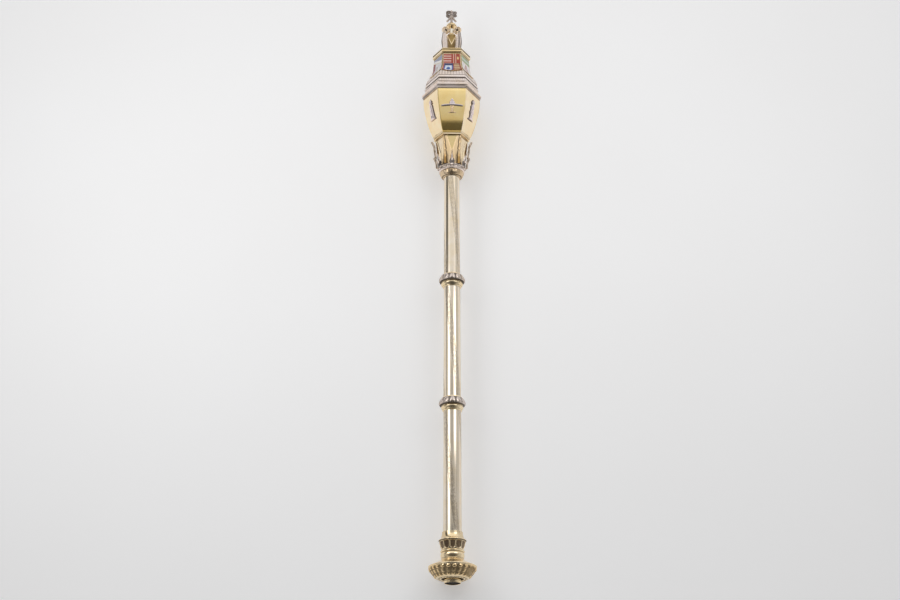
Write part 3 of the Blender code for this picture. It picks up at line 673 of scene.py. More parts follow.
def make_knop(name, node, middle):
    """A ringed knop: ungilt petals lie over its shoulder, above a groove and a gilt round moulding. A
    petal's half-width narrows to its point as the square root of 1 - share^2.2, and it is domed across."""
    columns = 16 * KNOP_PETALS
    ungilt_tint = (-0.12, -0.07, 0.25)  # takes polished gilt back to the silver under it
    tube_radius = staff_radius(middle) + 0.0006
    shoulder = fine(smooth_run([
        (KNOP - 0.0003, -0.0038), (KNOP, -0.0006), (KNOP - 0.0009, 0.0030), (0.0212, 0.0066),
        (tube_radius + 0.0020, 0.0092),
    ], 6), 0.0006)
    under = fine(eased([
        (CORE, -KNOP_DROP), (tube_radius, -KNOP_DROP), (tube_radius + 0.0012, -0.0152),
        (tube_radius + 0.0014, -0.0142), (0.0188, -0.0128), *bead(0.0181, -0.0090, 0.0030, -60, 65, 10),
        (0.0200, -0.0056), (0.0216, -0.0049), (KNOP - 0.0008, -0.0044),
    ], 0.0003), 0.0009, 0.0155)
    fillets = eased([
        (tube_radius + 0.0020, 0.0095), (tube_radius + 0.0012, 0.0098), (tube_radius + 0.0012, 0.0104),
        (tube_radius + 0.0006, KNOP_RISE), (CORE, KNOP_RISE),
    ], 0.0002)
    outline = np.concatenate([under, shoulder, fillets])
    radius, rise, azimuth = outline[:, :1], outline[:, 1:].copy(), around(columns)[None]
    share = np.zeros((len(outline), 1))
    share[len(under) : len(under) + len(shoulder), 0] = np.linspace(0, 1, len(shoulder))
    across = cell_place(azimuth, KNOP_PETALS)
    body = 1 - step_up(np.abs(across) - 0.46 * domed(share**2.2), -0.07, 0.0)
    cup = np.clip(1 - (across / 0.46) ** 2, 0, 1)
    vein = line(across, 0, 0.045) * (share < 0.85)
    on = plateau(share, 0.02, 0.10, 0.97, 1.0)
    relief = on * (body * (0.0005 + 0.0007 * cup) - 0.00025 * vein * body)
    outline[:, 1] += middle
    grid = raised(turned(outline, columns), relief)
    # painted shade between the petals, in the groove under them and at the small step near the foot; the
    # veins are darkened as chased lines
    dark = np.maximum.reduce([
        on * (1 - body) * 0.8, on * vein * 0.5 * body,
        0.9 * band(rise, -0.0050, 0.0006, 0.0005) * (radius > 0.019) + 0 * azimuth,
        0.5 * band(rise, -0.0137, 0.0003, 0.0004) + 0 * azimuth,
    ])
    ungilt = plateau(rise, -0.0052, -0.0046, 0.0090, 0.0096)
    tint = 1 + washed(ungilt, ungilt_tint)
    piece(name, node, [shell(grid, dark, 0.35 * ungilt, tint)], POLISHED_GILT)


def make_collar():
    """The bell-shaped collar at the top of the staff. It narrows downwards to a bead and a fillet, and soft
    lobes round its widest part are a cosine."""
    columns = 10 * COLLAR_LOBES
    outline = fine(eased([
        (CORE, COLLAR_BOTTOM), (0.0164, COLLAR_BOTTOM), (0.0170, COLLAR_BOTTOM + 0.0004),
        (0.0176, COLLAR_BOTTOM + 0.0010), (0.0178, COLLAR_BOTTOM + 0.0016),
        (0.0190, COLLAR_BOTTOM + 0.0020), (0.0210, COLLAR_TOP - 0.0088), (0.0224, COLLAR_TOP - 0.0066),
        (0.0233, COLLAR_TOP - 0.0040), (0.0240, COLLAR_TOP - 0.0020), (0.0238, COLLAR_TOP - 0.0006),
        (0.0230, COLLAR_TOP), (CORE, COLLAR_TOP),
    ], 0.0012, 5), 0.0008, 0.0155)
    azimuth, height = around(columns)[None], outline[:, 1:]
    wide = plateau(height, COLLAR_TOP - 0.0085, COLLAR_TOP - 0.0035, COLLAR_TOP - 0.0010, COLLAR_TOP)
    lobes = np.cos(azimuth * COLLAR_LOBES)
    grid = raised(turned(outline, columns), wide * 0.00018 * lobes)
    # painted shade in the line over the bead and between the lobes
    neck_line = band(height, COLLAR_BOTTOM + 0.0017, 0.0003, 0.0004) * (outline[:, :1] > 0.016)
    dark = np.maximum(0.7 * neck_line + 0 * azimuth, 0.30 * wide * np.clip(-lobes - 0.4, 0, 1))
    piece("staff_collar", "collar", [shell(grid, dark, 0.5, (1.03, 0.98, 1.0))], POLISHED_GILT)


# --- neck and leaves ----------------------------------------------------------------------------


def gilt_tint_with_painted_sheen(warm):
    """The tint of six-sided gilt work: warm on some sides, and paler on the others, a painted sheen that
    stands for their bright, washed-out reflections.
    """
    return np.where(warm[:, None], (1.0, 0.945, 0.67), (1.03, 1.03, 1.04))


def radius_at(run, height):
    """The corner radius of a run at a height."""
    points = smooth_run(run, 12)
    return np.interp(height, points[:, 1], points[:, 0])


def make_calyx():
    """The concave six-sided neck. Each side has a sunk wedge, wide at the top and pointed at the foot,
    between two sloping borders. Every second side is tinted paler, a painted sheen; the corners, the lower
    part beside the leaves and a line under the vase's ledge are painted dark as shade."""
    wedge_foot, wedge_half = 0.8600, 0.0098
    outline = np.concatenate([
        [(CORE, NECK_BOTTOM)], fine(smooth_run(NECK_RUN, 10), 0.0015), [(CORE, NECK_TOP)],
    ])
    grid, off, side = six_sided(outline, across=30, arris=0.0004)
    reach, corner, height, warm = np.abs(off), outline[:, :1], outline[:, 1:], side % 2 == 0
    share = (height - wedge_foot) / (NECK_TOP - wedge_foot)
    edge = reach - np.clip(share, 0, 1) * wedge_half
    border, wedge = step_up(edge, -0.0004, 0.0034) * 0.0008, 1 - step_up(edge, -0.0004, 0.0004)
    groove = 0.0004 * (1 - step_up(np.abs(edge), 0.0, 0.0005)) * (share > 0)
    whole = (height > NECK_BOTTOM + 0.0002) & (height < NECK_TOP - 0.0002)
    arris = 1 - step_up(np.abs(reach - corner / 2), 0.0006, 0.0016)
    low = 1 - step_up(height, NECK_BOTTOM + 0.006, NECK_BOTTOM + 0.034)
    low = low * step_up(reach, 0.004, 0.009)
    top_line = band(height, NECK_TOP - 0.0016, 0.0008, 0.0005) * (corner > 0.02)
    dark = np.clip(np.maximum(0.85 * arris + 0.75 * low, 0.7 * top_line), 0, 1)
    tint = gilt_tint_with_painted_sheen(warm) * (1 - washed(wedge, (0.10, 0.10, 0.04)))
    tint = tint + washed((1 - wedge) * warm, (0.03, 0.0, 0.19))
    grid = raised(grid, (border - groove) * whole)
    piece("calyx", "neck", [shell(grid, dark, 0.0, tint)], POLISHED_GILT)


def leaf(reach, height, half, rows, across, lobes, thickness, cup, rib=0.0007):
    """A pointed leaf at the front. Its middle line runs through the (reach, height) points. Its half-width
    follows the `half` points, nicked into lobes by a saw-tooth. Its front is domed across, with a midrib and
    veins that run up and out, and its sides curl back by `cup`. Gives the shell's grid and its painted
    shade: darker between the veins, and over the back that faces away."""
    t = np.linspace(0, 1, rows)
    spine = smooth_run(np.stack([reach, height], -1), 12)
    way = np.linspace(0, 1, len(spine))
    r, z = np.interp(t, way, spine[:, 0]), np.interp(t, way, spine[:, 1])
    shape = smooth_run(np.stack([half, np.linspace(0, 1, len(half))], -1), 12)
    width = np.interp(t, shape[:, 1], shape[:, 0])
    saw = (t * lobes) % 1
    width = np.maximum(width * (1 - 0.30 * saw**1.5 * (t < 0.93)), 0.0003)
    dr, dz = np.gradient(r), np.gradient(z)
    size = np.hypot(dr, dz)
    out_r, out_z = dz / size, -dr / size
    s = np.linspace(-1, 1, across)
    dome = domed(s**2)
    vein = np.cos((t[:, None] * lobes - np.abs(s) * 0.9) * TURN)
    curl = cup * s**2 * width[:, None] / width.max()
    front = thickness * dome * (1 + 0.25 * vein * (np.abs(s) > 0.12)) + rib * line(s, 0, 0.14) - curl
    back = -thickness * 0.5 * dome - curl
    lift = np.concatenate([front, back[:, ::-1][:, 1:-1]], 1)
    x = width[:, None] * np.concatenate([s, s[::-1][1:-1]])
    grid = np.stack([x, -(r[:, None] + lift * out_r[:, None]), z[:, None] + lift * out_z[:, None]], -1)
    dark = np.clip(0.55 - 0.75 * vein, 0, 1) * (np.abs(s) > 0.16) * (np.abs(s) < 0.97)
    dark = np.concatenate([dark, np.full((rows, across - 2), 0.6)], 1)
    return grid, np.clip(dark, 0, 0.85)


def make_leaf_coronet():
    """A silver band chased with lozenges and round pips, with a short leaf standing from it at each side. A
    long berry, a stretched ball, hangs before each leaf."""
    columns = 12 * CORONET_LOZENGES
    top, base = NECK_BOTTOM - GAP, NECK_BOTTOM - 0.0040
    profile = fine(eased([
        (CORE, COLLAR_TOP + GAP), (0.0236, COLLAR_TOP + GAP), (0.0246, top - 0.0098),
        (0.0256, top - 0.0090), (0.0256, top - 0.0080), (0.0247, top - 0.0070), (0.0247, top - 0.0030),
        (0.0256, top - 0.0022), (0.0262, top - 0.0014), (0.0258, top - 0.0004), (0.0250, top), (CORE, top),
    ], 0.0004), 0.0006, 0.0225)
    middle = top - 0.0050
    v = (profile[:, 1:] - middle) / 0.0021
    u = np.abs(cell_place(around(columns)[None], CORONET_LOZENGES)) * 2
    lozenge = u / 0.62 + np.abs(v) / 0.95
    field = band(profile[:, 1:], middle, 0.0020, 0.0003) * (profile[:, :1] > 0.020)
    stone = 1 - step_up(lozenge, 0.70, 1.0)
    pip = domed(((1 - u) / 0.26) ** 2 + (v / 0.42) ** 2)
    grid = raised(turned(profile, columns), field * (0.0006 * stone * (1 - 0.5 * lozenge) + 0.0007 * pip))
    parts = [shell(grid, field * np.clip(1 - 1.6 * stone - 1.6 * pip, 0, 1) * 0.5)]
    short, shade_and_soiling = leaf(
        np.array([0.0262, 0.0270, 0.0284, 0.0312, 0.0370]),
        base + np.array([0.0, 0.0080, 0.0170, 0.0250, 0.0292]),
        [0.0048, 0.0056, 0.0026, 0.0014, 0.0005],
        rows=40, across=16, lobes=4, thickness=0.0011, cup=0.0012,
    )
    # the short leaf's lower part is painted dark, as the shade round it
    behind = band(short[..., 2], base + 0.0080, 0.0050, 0.0010) * 0.9
    shade_and_soiling = np.maximum(shade_and_soiling * 0.6, behind)
    centre = np.array((0.0, -0.0306, base + 0.0100))
    berry = centre + ball((0, 0, 0), 0.0023, 8, 16) * (1.0, 1.0, 1.7)
    # the berry's tint of 1.08 brightens it, a painted highlight
    for azimuth in around(6):
        parts += [shell(turned_about(short, azimuth), shade_and_soiling),
                  shell(turned_about(berry, azimuth), 0.0, 0.3, 1.08)]
    piece("leaf_coronet_band", "leaf_coronet", parts, CAST_SILVER, 50)


def make_corner_leaves():
    """Six tall leaves, one over each corner of the neck. The two at the far left and right stand off from it
    and curl out in waves; the other four are gilt and lie close to it, and bend out only at the tip."""
    foot = NECK_BOTTOM + GAP
    close_height = foot + np.array([0.0, 0.0150, 0.0300, 0.0440, 0.0560, 0.0600])
    close_reach = radius_at(NECK_RUN, close_height) + (0.0015, 0.0014, 0.0014, 0.0013, 0.0016, 0.0040)
    close, _ = leaf(close_reach, close_height, [0.0040, 0.0046, 0.0038, 0.0032, 0.0024, 0.0006],
                    rows=64, across=18, lobes=5, thickness=0.0014, cup=0.0034, rib=0.0012)
    free_height = foot + np.array([0.0, 0.0130, 0.0210, 0.0240, 0.0390, 0.0470, 0.0595])
    stand = (0.0030, 0.0036, 0.0064, 0.0034, 0.0044, 0.0040, 0.0078)
    free_reach = radius_at(NECK_RUN, free_height) + stand
    free, free_dark = leaf(free_reach, free_height, [0.0040, 0.0046, 0.0042, 0.0036, 0.0034, 0.0028, 0.0008],
                           rows=84, across=16, lobes=5, thickness=0.0024, cup=0.0012)
    # painted shade: the close leaves are darker and browner towards the foot, and darker along their edges
    # where they meet the neck
    low = 1 - step_up(close[..., 2], foot + 0.0060, foot + 0.0260)
    edge = np.abs(close[..., 0]) / np.abs(close[..., 0]).max(1, keepdims=True)
    close_dark = np.clip(step_up(edge, 0.45, 0.80) * 0.8 + 0.45 * low, 0, 0.9)
    gold = (1.0, 0.84, 0.54) - washed(low, (0.0, 0.16, 0.30))
    forms = [(free, np.maximum(free_dark, 0.32), (1.0, 0.93, 0.80))] + 2 * [(close, close_dark, gold)]
    for number, azimuth in enumerate(around(6) + math.pi / 2):
        form, dark, tint = forms[number % 3]
        part = shell(turned_about(form, azimuth), dark, 0.0, tint)
        piece(f"tall_leaf_{number + 1}", f"corner_leaf_{number + 1}", [part], CAST_SILVER, 50)


# --- bowl and its devices -----------------------------------------------------------------------


def make_vase():
    """The convex six-sided vase, burnished, on a small stepped ledge that leans back a little. Just over the
    ledge the warm sides are painted deeper in colour, as shade where the vase turns under, and the ledge is
    painted paler, as a highlight."""
    ledge = eased([
        (CORE, NECK_TOP + GAP), (0.0352, NECK_TOP + GAP), (0.0360, 0.8924), (0.0361, 0.8928),
        (0.0353, 0.8951), (0.0352, 0.8958), (0.0366, 0.8964), (0.0369, 0.8994), (0.0372, 0.8998),
    ], 0.0003)
    run = fine(smooth_run(BOWL_RUN, 12), 0.0021)
    outline = np.concatenate([
        fine(ledge, 0.0008, 0.0330), run[run[:, 1] > 0.9001],
        fine([(0.0540, BOWL_TOP), (CORE, BOWL_TOP)], 0.01),
    ])
    grid, off, side = six_sided(outline, across=26, arris=0.0006, bend=4)
    height, outer, warm = outline[:, 1:] + 0 * off, outline[:, :1] > 0.03, side % 2 == 0
    arris = 1 - step_up(np.abs(np.abs(off) - outline[:, :1] / 2), 0.0003, 0.0009)
    # painted shade in lines at the small ledge and along the corners of the warm sides
    dark = np.maximum.reduce([
        0.5 * band(height, 0.8956, 0.0003, 0.0003), 0.25 * band(height, 0.8980, 0.0016, 0.0004),
        0.32 * arris * (warm & (height > LEDGE_TOP)),
    ]) * outer
    low = (1 - step_up(height, 0.9050, 0.9330)) * step_up(height, 0.8954, 0.8960)
    # the deeper warm sides are painted shade, and the paler sides a painted sheen
    tint = gilt_tint_with_painted_sheen(warm) * (1 - washed(low * warm, (0.03, 0.12, 0.36)))
    # the ledge is painted paler, as a highlight
    tint = np.where(height[..., None] < 0.8954, (1.05, 1.05, 1.08), tint)
    piece("vase", "bowl", [shell(grid, dark, 0.0, tint)], POLISHED_GILT, 30)


def on_panel(x, height, out):
    """Points over the vase's front side: x across it, and `out` from its surface."""
    seat = radius_at(BOWL_RUN, height) * FLAT_SHARE
    return np.stack(np.broadcast_arrays(x, -(seat + out), height), -1)


FACE, BACK = 18, 8  # how many points go across a half-turned shape's face, and back behind it


def half_turned(rows, foot, depth=0.85, most=0.0034):
    """Half of a turned shape, laid on the panel. Its half-width at a height follows the (rise, half-width)
    rows, and it stands out by the depth times that, at most by `most`, along half an ellipse."""
    run = fine(smooth_run(rows, 6), 0.0008)
    height, width = foot + run[:, :1], np.maximum(run[:, 1:], 0.0003)
    a = np.linspace(-np.pi / 2, np.pi / 2, FACE)
    stand = np.minimum(width * depth, most)
    x = np.concatenate([width * np.sin(a), width * np.linspace(0.9, -0.9, BACK)], 1)
    out = np.concatenate([0.0003 + stand * np.cos(a), np.full((len(run), BACK), 0.0001)], 1)
    return on_panel(x, height + 0 * x, out)


def edge_dark(grid, amount=0.8, inner=0):
    """Painted shade along both edges of a half-turned shape, where it meets the panel, and over its back.
    inner is -1 or 1 where most of it lies on that side, and 0 where the two are alike."""
    a = np.linspace(-1, 1, FACE)
    alike = step_up(np.abs(a), 0.72, 0.95)
    uneven = step_up(a * inner, 0.55, 0.80) * 1.1 + 0.15 * step_up(-a * inner, 0.80, 0.95)
    dark = amount * (uneven if inner else alike)
    return np.broadcast_to(np.concatenate([dark, np.full(BACK, 0.9)]), grid.shape[:2])


def make_devices():
    """Three devices, each on two opposite sides: an urn on a stalk under an arched bar, a beacon in a
    brazier, and a tower with a gallery. The bar is a tube along a parabola; the others are half turned."""
    half = 0.0222
    x = np.linspace(-half, half, 60)
    arch = 0.9496 - 0.0022 * (x / half) ** 2
    radius = 0.0021 * np.sqrt(np.clip(1.02 - (np.abs(x) / half) ** 8, 0.02, 1))
    bar = tube(on_panel(x, arch, 0.0008), radius, 16, (0, 0, 1))
    # painted shade on the bar's lower side
    under = step_up(arch[:, None] - bar[..., 2], -0.0002, 0.0005)
    urn = half_turned([
        (0.0000, 0.0074), (0.0014, 0.0074), (0.0020, 0.0046), (0.0034, 0.0028), (0.0090, 0.0028),
        (0.0140, 0.0036), (0.0165, 0.0052), (0.0200, 0.0056), (0.0232, 0.0046), (0.0250, 0.0026),
        (0.0262, 0.0034), (0.0278, 0.0022), (0.0295, 0.0006),
    ], URN_FOOT, 0.5, 0.0020)
    gilded = 1 - step_up(urn[..., 2] - URN_FOOT, 0.0150, 0.0170)
    parcel_gilt = np.array((0.95, 0.98, 1.14)) * (1 - washed(gilded, (0.10, 0.26, 0.56)))

    beacon = half_turned([
        (0.0000, 0.0095), (0.0018, 0.0092), (0.0026, 0.0064), (0.0050, 0.0050), (0.0110, 0.0048),
        (0.0150, 0.0066), (0.0172, 0.0072), (0.0190, 0.0060), (0.0230, 0.0044), (0.0262, 0.0056),
        (0.0290, 0.0060), (0.0312, 0.0040), (0.0335, 0.0030), (0.0358, 0.0046), (0.0380, 0.0052),
        (0.0408, 0.0040), (0.0432, 0.0020), (0.0453, 0.0006),
    ], DEVICE_FOOT)
    across, rise = beacon[..., 0], beacon[..., 2] - DEVICE_FOOT
    flame = (rise > 0.0335) * np.clip(np.cos(across * 1800 + rise * 900), 0, 1) * 0.6
    cage = (rise > 0.0110) * (rise < 0.0290) * np.clip(np.cos(across * 2400) - 0.4, 0, 1) * 0.7
    beacon_dark = np.clip(np.maximum.reduce([edge_dark(beacon, inner=-1), flame, cage]), 0, 1)

    tower = half_turned([
        (0.0000, 0.0095), (0.0018, 0.0095), (0.0026, 0.0080), (0.0050, 0.0074), (0.0180, 0.0058),
        (0.0290, 0.0046), (0.0310, 0.0034), (0.0332, 0.0030), (0.0342, 0.0048), (0.0352, 0.0050),
        (0.0362, 0.0038), (0.0384, 0.0038), (0.0392, 0.0048), (0.0402, 0.0030), (0.0425, 0.0016),
        (0.0453, 0.0005),
    ], DEVICE_FOOT)
    across, rise = tower[..., 0], tower[..., 2] - DEVICE_FOOT
    courses = np.clip(np.cos(rise / 0.0026 * TURN) - 0.75, 0, 1) * 1.5 * (rise > 0.003) * (rise < 0.030)
    door = (np.abs(across) < 0.0014) * (rise > 0.003) * (rise < 0.0080) * 0.9
    tower_dark = np.clip(np.maximum.reduce([edge_dark(tower, inner=1), courses, door]), 0, 1)

    pale = (1.03, 1.03, 1.14)
    devices = [
        [(bar, under * 0.50, (0.93, 0.97, 1.08)), (urn, edge_dark(urn, 0.5), parcel_gilt)],
        [(beacon, beacon_dark, pale)],
        [(tower, tower_dark, pale)],
    ]
    for number, azimuth in enumerate(around(6)):
        shells = [shell(turned_about(grid, azimuth), dark, 0.0, tint)
                  for grid, dark, tint in devices[number % 3]]
        piece(f"device_{number + 1}", f"panel_emblem_{number + 1}", shells, CAST_SILVER, 55)


# --- cornice, frieze and drum -------------------------------------------------------------------


def make_great_cornice():
    """The widest moulding: a nosing over a sunk fascia, and a plain fillet that stands on the vase. On the
    front and every second side the fascia is painted dark, and the fillet a little, as shade; on the other
    sides painted shade lies lower down."""
    edge, high = CORNICE, CORNICE_TOP
    outline = fine(eased([
        (CORE, BOWL_TOP + GAP), (edge - 0.0026, BOWL_TOP + GAP), (edge - 0.0024, high - 0.0076),
        (edge - 0.0014, high - 0.0070), (edge - 0.0018, high - 0.0067), (edge - 0.0018, high - 0.0034),
        (edge - 0.0004, high - 0.0031), (edge, high - 0.0026), (edge - 0.0001, high - 0.0012),
        (edge - 0.0012, high), (CORE, high),
    ], 0.0002), 0.002, 0.0550)
    grid, off, side = six_sided(outline, across=16, arris=0.0004)
    rise = outline[:, 1:] - high + 0 * off
    front = np.maximum(band(rise, -0.0050, 0.0015, 0.0004) * 0.60, step_up(-rise, 0.0072, 0.0094) * 0.30)
    between = band(rise, -0.0076, 0.0019, 0.0004) * 0.65
    dark = np.where(side % 2 == 0, front, between) * (outline[:, :1] > 0.055)
    piece("great_cornice", "main_cornice", [shell(grid, dark)], CAST_SILVER, 30)


def make_arcaded_frieze():
    """Stepped mouldings: a plain slope, a ledge worked as a row of round-topped arches, a cove painted dark
    as shade and a bright upper ledge. The upper ledge and the slope are tinted paler and brighter, as
    painted highlights."""
    foot, high, edge = CORNICE_TOP + GAP, FRIEZE_TOP, FRIEZE
    ledge, arch_width = high - 0.0091, 0.0046
    outline = fine(eased([
        (CORE, foot), (edge + 0.0040, foot), (edge + 0.0036, foot + 0.0008), (edge + 0.0006, foot + 0.0050),
        (edge - 0.0008, ledge - 0.0066), (edge - 0.0002, ledge - 0.0060), (edge, ledge - 0.0010),
        (edge - 0.0004, ledge), (edge - 0.0030, ledge + 0.0006), (edge - 0.0040, ledge + 0.0012),
        (edge - 0.0040, high - 0.0063), (edge - 0.0010, high - 0.0059), (edge - 0.0006, high - 0.0053),
        (edge - 0.0020, high - 0.0006), (edge - 0.0028, high), (CORE, high),
    ], 0.0004), 0.0008, 0.0480)
    grid, off, _ = six_sided(outline, across=60, arris=0.0005)
    corner, height = outline[:, :1], outline[:, 1:]
    outer = corner > 0.048
    cell = (off / arch_width + 0.5) % 1 - 0.5
    zone = band(height, ledge - 0.0034, 0.0024, 0.0003) * outer
    round_top = np.hypot(cell / 0.42, np.maximum(height - (ledge - 0.0028), 0) / 0.0019)
    arch = zone * (1 - step_up(round_top, 0.75, 1.0)) * (np.abs(off) < corner / 2 - 0.0008)
    # a band in the cove under the upper ledge, painted dark as shade
    shade_and_soiling = band(height, high - 0.0073, 0.0013, 0.0004) * outer
    spandrel = zone * step_up(round_top, 0.80, 1.05) * step_up(height, ledge - 0.0034, ledge - 0.0020)
    joints = zone * step_up(np.abs(cell), 0.36, 0.48) * 0.35
    dark = np.maximum.reduce([shade_and_soiling * 0.70 + 0 * cell, spandrel * 0.75, joints])
    # painted highlights: the upper ledge and the slope are tinted paler and brighter
    upper = step_up(height, ledge + 0.0004, ledge + 0.0010)
    slope = 1 - step_up(height, ledge - 0.0066, ledge - 0.0060)
    tint = 1 + washed(0.6 * upper + slope + 0 * off, (0.05, 0.08, 0.11))
    piece("arcaded_frieze", "frieze", [shell(raised(grid, 0.0005 * arch), dark, 0.0, tint)], CAST_SILVER)


def make_drum():
    """The tapering six-sided drum, whose foot spreads into a skirt chased with soft upright reeds."""
    foot = FRIEZE_TOP + GAP
    outline = np.concatenate([
        fine([(CORE, foot), (0.0500, foot)], 0.01), fine(smooth_run(DRUM_RUN, 10), 0.0020),
        [(0.0330, DRUM_TOP), (CORE, DRUM_TOP)],
    ])
    grid, off, side = six_sided(outline, across=36, arris=0.0006)
    corner, height = outline[:, :1], outline[:, 1:]
    skirt = plateau(height, FRIEZE_TOP + 0.0008, FRIEZE_TOP + 0.0018, 1.0310, 1.0370)
    reeds = np.cos(off / corner * TURN * 9)
    relief = skirt * 0.00018 * reeds * (corner > 0.03)
    joint = 0.6 * band(height, FRIEZE_TOP + 0.0012, 0.0007, 0.0005) * (side % 2 == 1)
    # painted shade in the valleys between the reeds; the whole skirt is a little darker
    dark = np.maximum(skirt * (0.10 + 0.44 * np.clip(-reeds, 0, 1)), joint)
    piece("drum_body", "drum", [shell(raised(grid, relief), dark)], CAST_SILVER, 30)


def painted(field, layers):
    """Colour over a field: each layer is a colour and a mask from 0 to 1, laid over the ones before."""
    paint = np.broadcast_to(colour_of(field), (*layers[0][1].shape, 3)).copy()
    for code, mask in layers:
        paint += (np.array(colour_of(code)) - paint) * np.clip(mask, 0, 1)[..., None]
    return paint


def quartered(u, v):
    """A quartered shield: barred red, striped red with a lozenge, a small blue shield, and gold bars. u goes
    across it from -1 to 1, and v up it from 0 to 1."""
    left, upper = 1 - step_up(u, -0.02, 0.02), step_up(v, 0.47, 0.50)
    right, lower = 1 - left, 1 - upper
    bars = left * upper * step_up(np.cos((v - 0.74) / 0.125 * TURN), 0.0, 0.5)
    bars = bars * (1 - step_up(u, -0.10, -0.04))
    stripes = right * upper * step_up(np.cos((u - 0.20) / 0.25 * TURN), 0.0, 0.6)
    stripes = stripes * (1 - step_up(u, 0.50, 0.56))
    lozenge = np.abs(u - 0.70) / 0.13 + np.abs(v - 0.76) / 0.10
    lozenge = right * upper * (1 - step_up(lozenge, 0.85, 1.1))
    small_u, small_v = (u + 0.36) / 0.52, (v - 0.23) / 0.27
    foot = domed((small_u * 0.92) ** 2)
    inside = band(small_u, 0, 0.86, 0.10) * step_up(small_v, -foot * 1.05, -foot * 1.05 + 0.2)
    inside = inside * (1 - step_up(small_v, 0.92, 1.0)) * step_up(0.56 - v, 0.0, 0.02)
    field = band(small_u, 0, 0.62, 0.10) * step_up(small_v, -foot * 0.78, -foot * 0.78 + 0.15)
    rim = inside * (1 - field)
    chief = inside * step_up(small_v, 0.52, 0.62)
    roundel = inside * (1 - step_up(np.hypot(small_u, small_v + 0.15), 0.30, 0.42))
    gold = right * lower * step_up(np.cos((v - 0.10) / 0.088 * TURN), 0.0, 0.5) * band(u, 0.52, 0.26, 0.05)
    seam = np.maximum(band(v, 0.485, 0.008, 0.012), 0.5 * band(u, 0.0, 0.006, 0.02))
    paint = painted("#B84A38", [
        ("#F6CDBF", bars), ("#B5442F", right * upper), ("#ECC0A8", stripes), ("#9A3A28", right * lower),
        ("#D08A58", lozenge), ("#F0E0B8", gold), ("#7A3426", seam), ("#E2ECFA", inside),
        ("#33489A", rim), ("#2C3568", chief), ("#1F5CA8", roundel),
    ])
    return paint, np.maximum(0.9 * lozenge, 0.5 * gold)


def banded(u, v):
    """A pale shield: a slate chief crossed by a white bend, and a maroon pale down one side."""
    tilt = v + 0.12 * u
    chief = step_up(tilt, 0.80, 0.83)
    bend = band(tilt, 0.75, 0.05, 0.02)
    pale = (1 - step_up(u, -0.52, -0.46)) * (1 - chief) * (1 - step_up(tilt, 0.66, 0.70))
    hem = step_up(u, 0.80, 0.86) * (1 - chief) * 0.7
    leaf_mark = band(np.hypot((u + 0.10) / 0.26, (v - 0.38) / 0.17), 0.0, 0.75, 0.15)
    paint = painted("#D9D6D8", [
        ("#8A90AC", chief), ("#F2EFEE", bend), ("#8A2A2A", pale), ("#7A6A68", hem), ("#B9A9A4", leaf_mark),
    ])
    return paint, 0.8 * band(tilt, 0.69, 0.006, 0.015)


def chiefed(u, v):
    """A white shield with a sage green chief and a pinkish trefoil."""
    chief = step_up(v, 0.66, 0.69)
    lobes = [np.hypot((u - across) / 0.24, (v - up) / 0.115)
             for across, up in ((0.0, 0.50), (-0.26, 0.34), (0.26, 0.34))]
    trefoil = 1 - step_up(np.minimum.reduce(lobes), 0.85, 1.05)
    stalk = band(u, 0, 0.05, 0.04) * band(v, 0.24, 0.12, 0.03)
    bars = chief * band(v, 0.83, 0.035, 0.02)
    paint = painted("#ECE7E4", [
        ("#8FA880", chief), ("#C4CFB8", bars), ("#B98C88", trefoil), ("#A88884", stalk),
    ])
    return paint, 0.8 * band(v, 0.675, 0.006, 0.015)


def make_enamel_shields():
    """Six shields, straight at the top, which follow the drum's skirt out to a pointed foot. The half-width
    narrows near the foot as a square root. Each has a gilt rim round coloured enamel."""
    top, foot, back = DRUM_TOP - 0.0016, FRIEZE_TOP + 0.0097, 6
    narrowing = 0.14  # of the height, from the foot
    share = np.concatenate([np.linspace(0, narrowing, 20), np.linspace(narrowing, 1, 66)[1:]])[:, None]
    height = foot + (top - foot) * share
    corner = radius_at(DRUM_RUN, height[:, 0])[:, None]
    seat = corner * FLAT_SHARE + GAP
    taper = np.minimum(1, np.sqrt(np.maximum(share, 0.0004) / narrowing))
    width = (np.minimum(corner, 0.0480) / 2 - 0.0006) * taper
    s = np.linspace(-1, 1, 66)[None]
    from_edge = np.minimum(width * (1 - np.abs(s)), top - height + 0 * s)
    from_edge = np.minimum(from_edge, share * (top - foot) * 0.8 + 0 * s)
    rim = 1 - step_up(from_edge, 0.0005, 0.0009)
    behind = np.stack(np.broadcast_arrays(width * np.linspace(0.96, -0.96, back), -seat, height), -1)
    for number, azimuth in enumerate(around(6)):
        paint, wire = (quartered, chiefed, banded)[number % 3](s + 0 * share, share + 0 * s)
        wire = np.maximum(rim, wire)
        stand = 0.0009 + 0.00025 * rim + 0.00008 * wire - 0.0004 * step_up(np.abs(s), 0.985, 1.0)
        face = np.stack(np.broadcast_arrays(width * s, -(seat + stand), height), -1)
        rest = np.ones((len(height), back))
        paint = np.concatenate([paint, np.broadcast_to(colour_of("#C9A35C"), (*rest.shape, 3))], 1)
        part = shell(turned_about(np.concatenate([face, behind], 1), azimuth), 0.0,
                     np.concatenate([wire, rest], 1), paint)
        piece(f"armorial_shield_{number + 1}", f"enamel_shield_{number + 1}", [part], ENAMEL, 45)


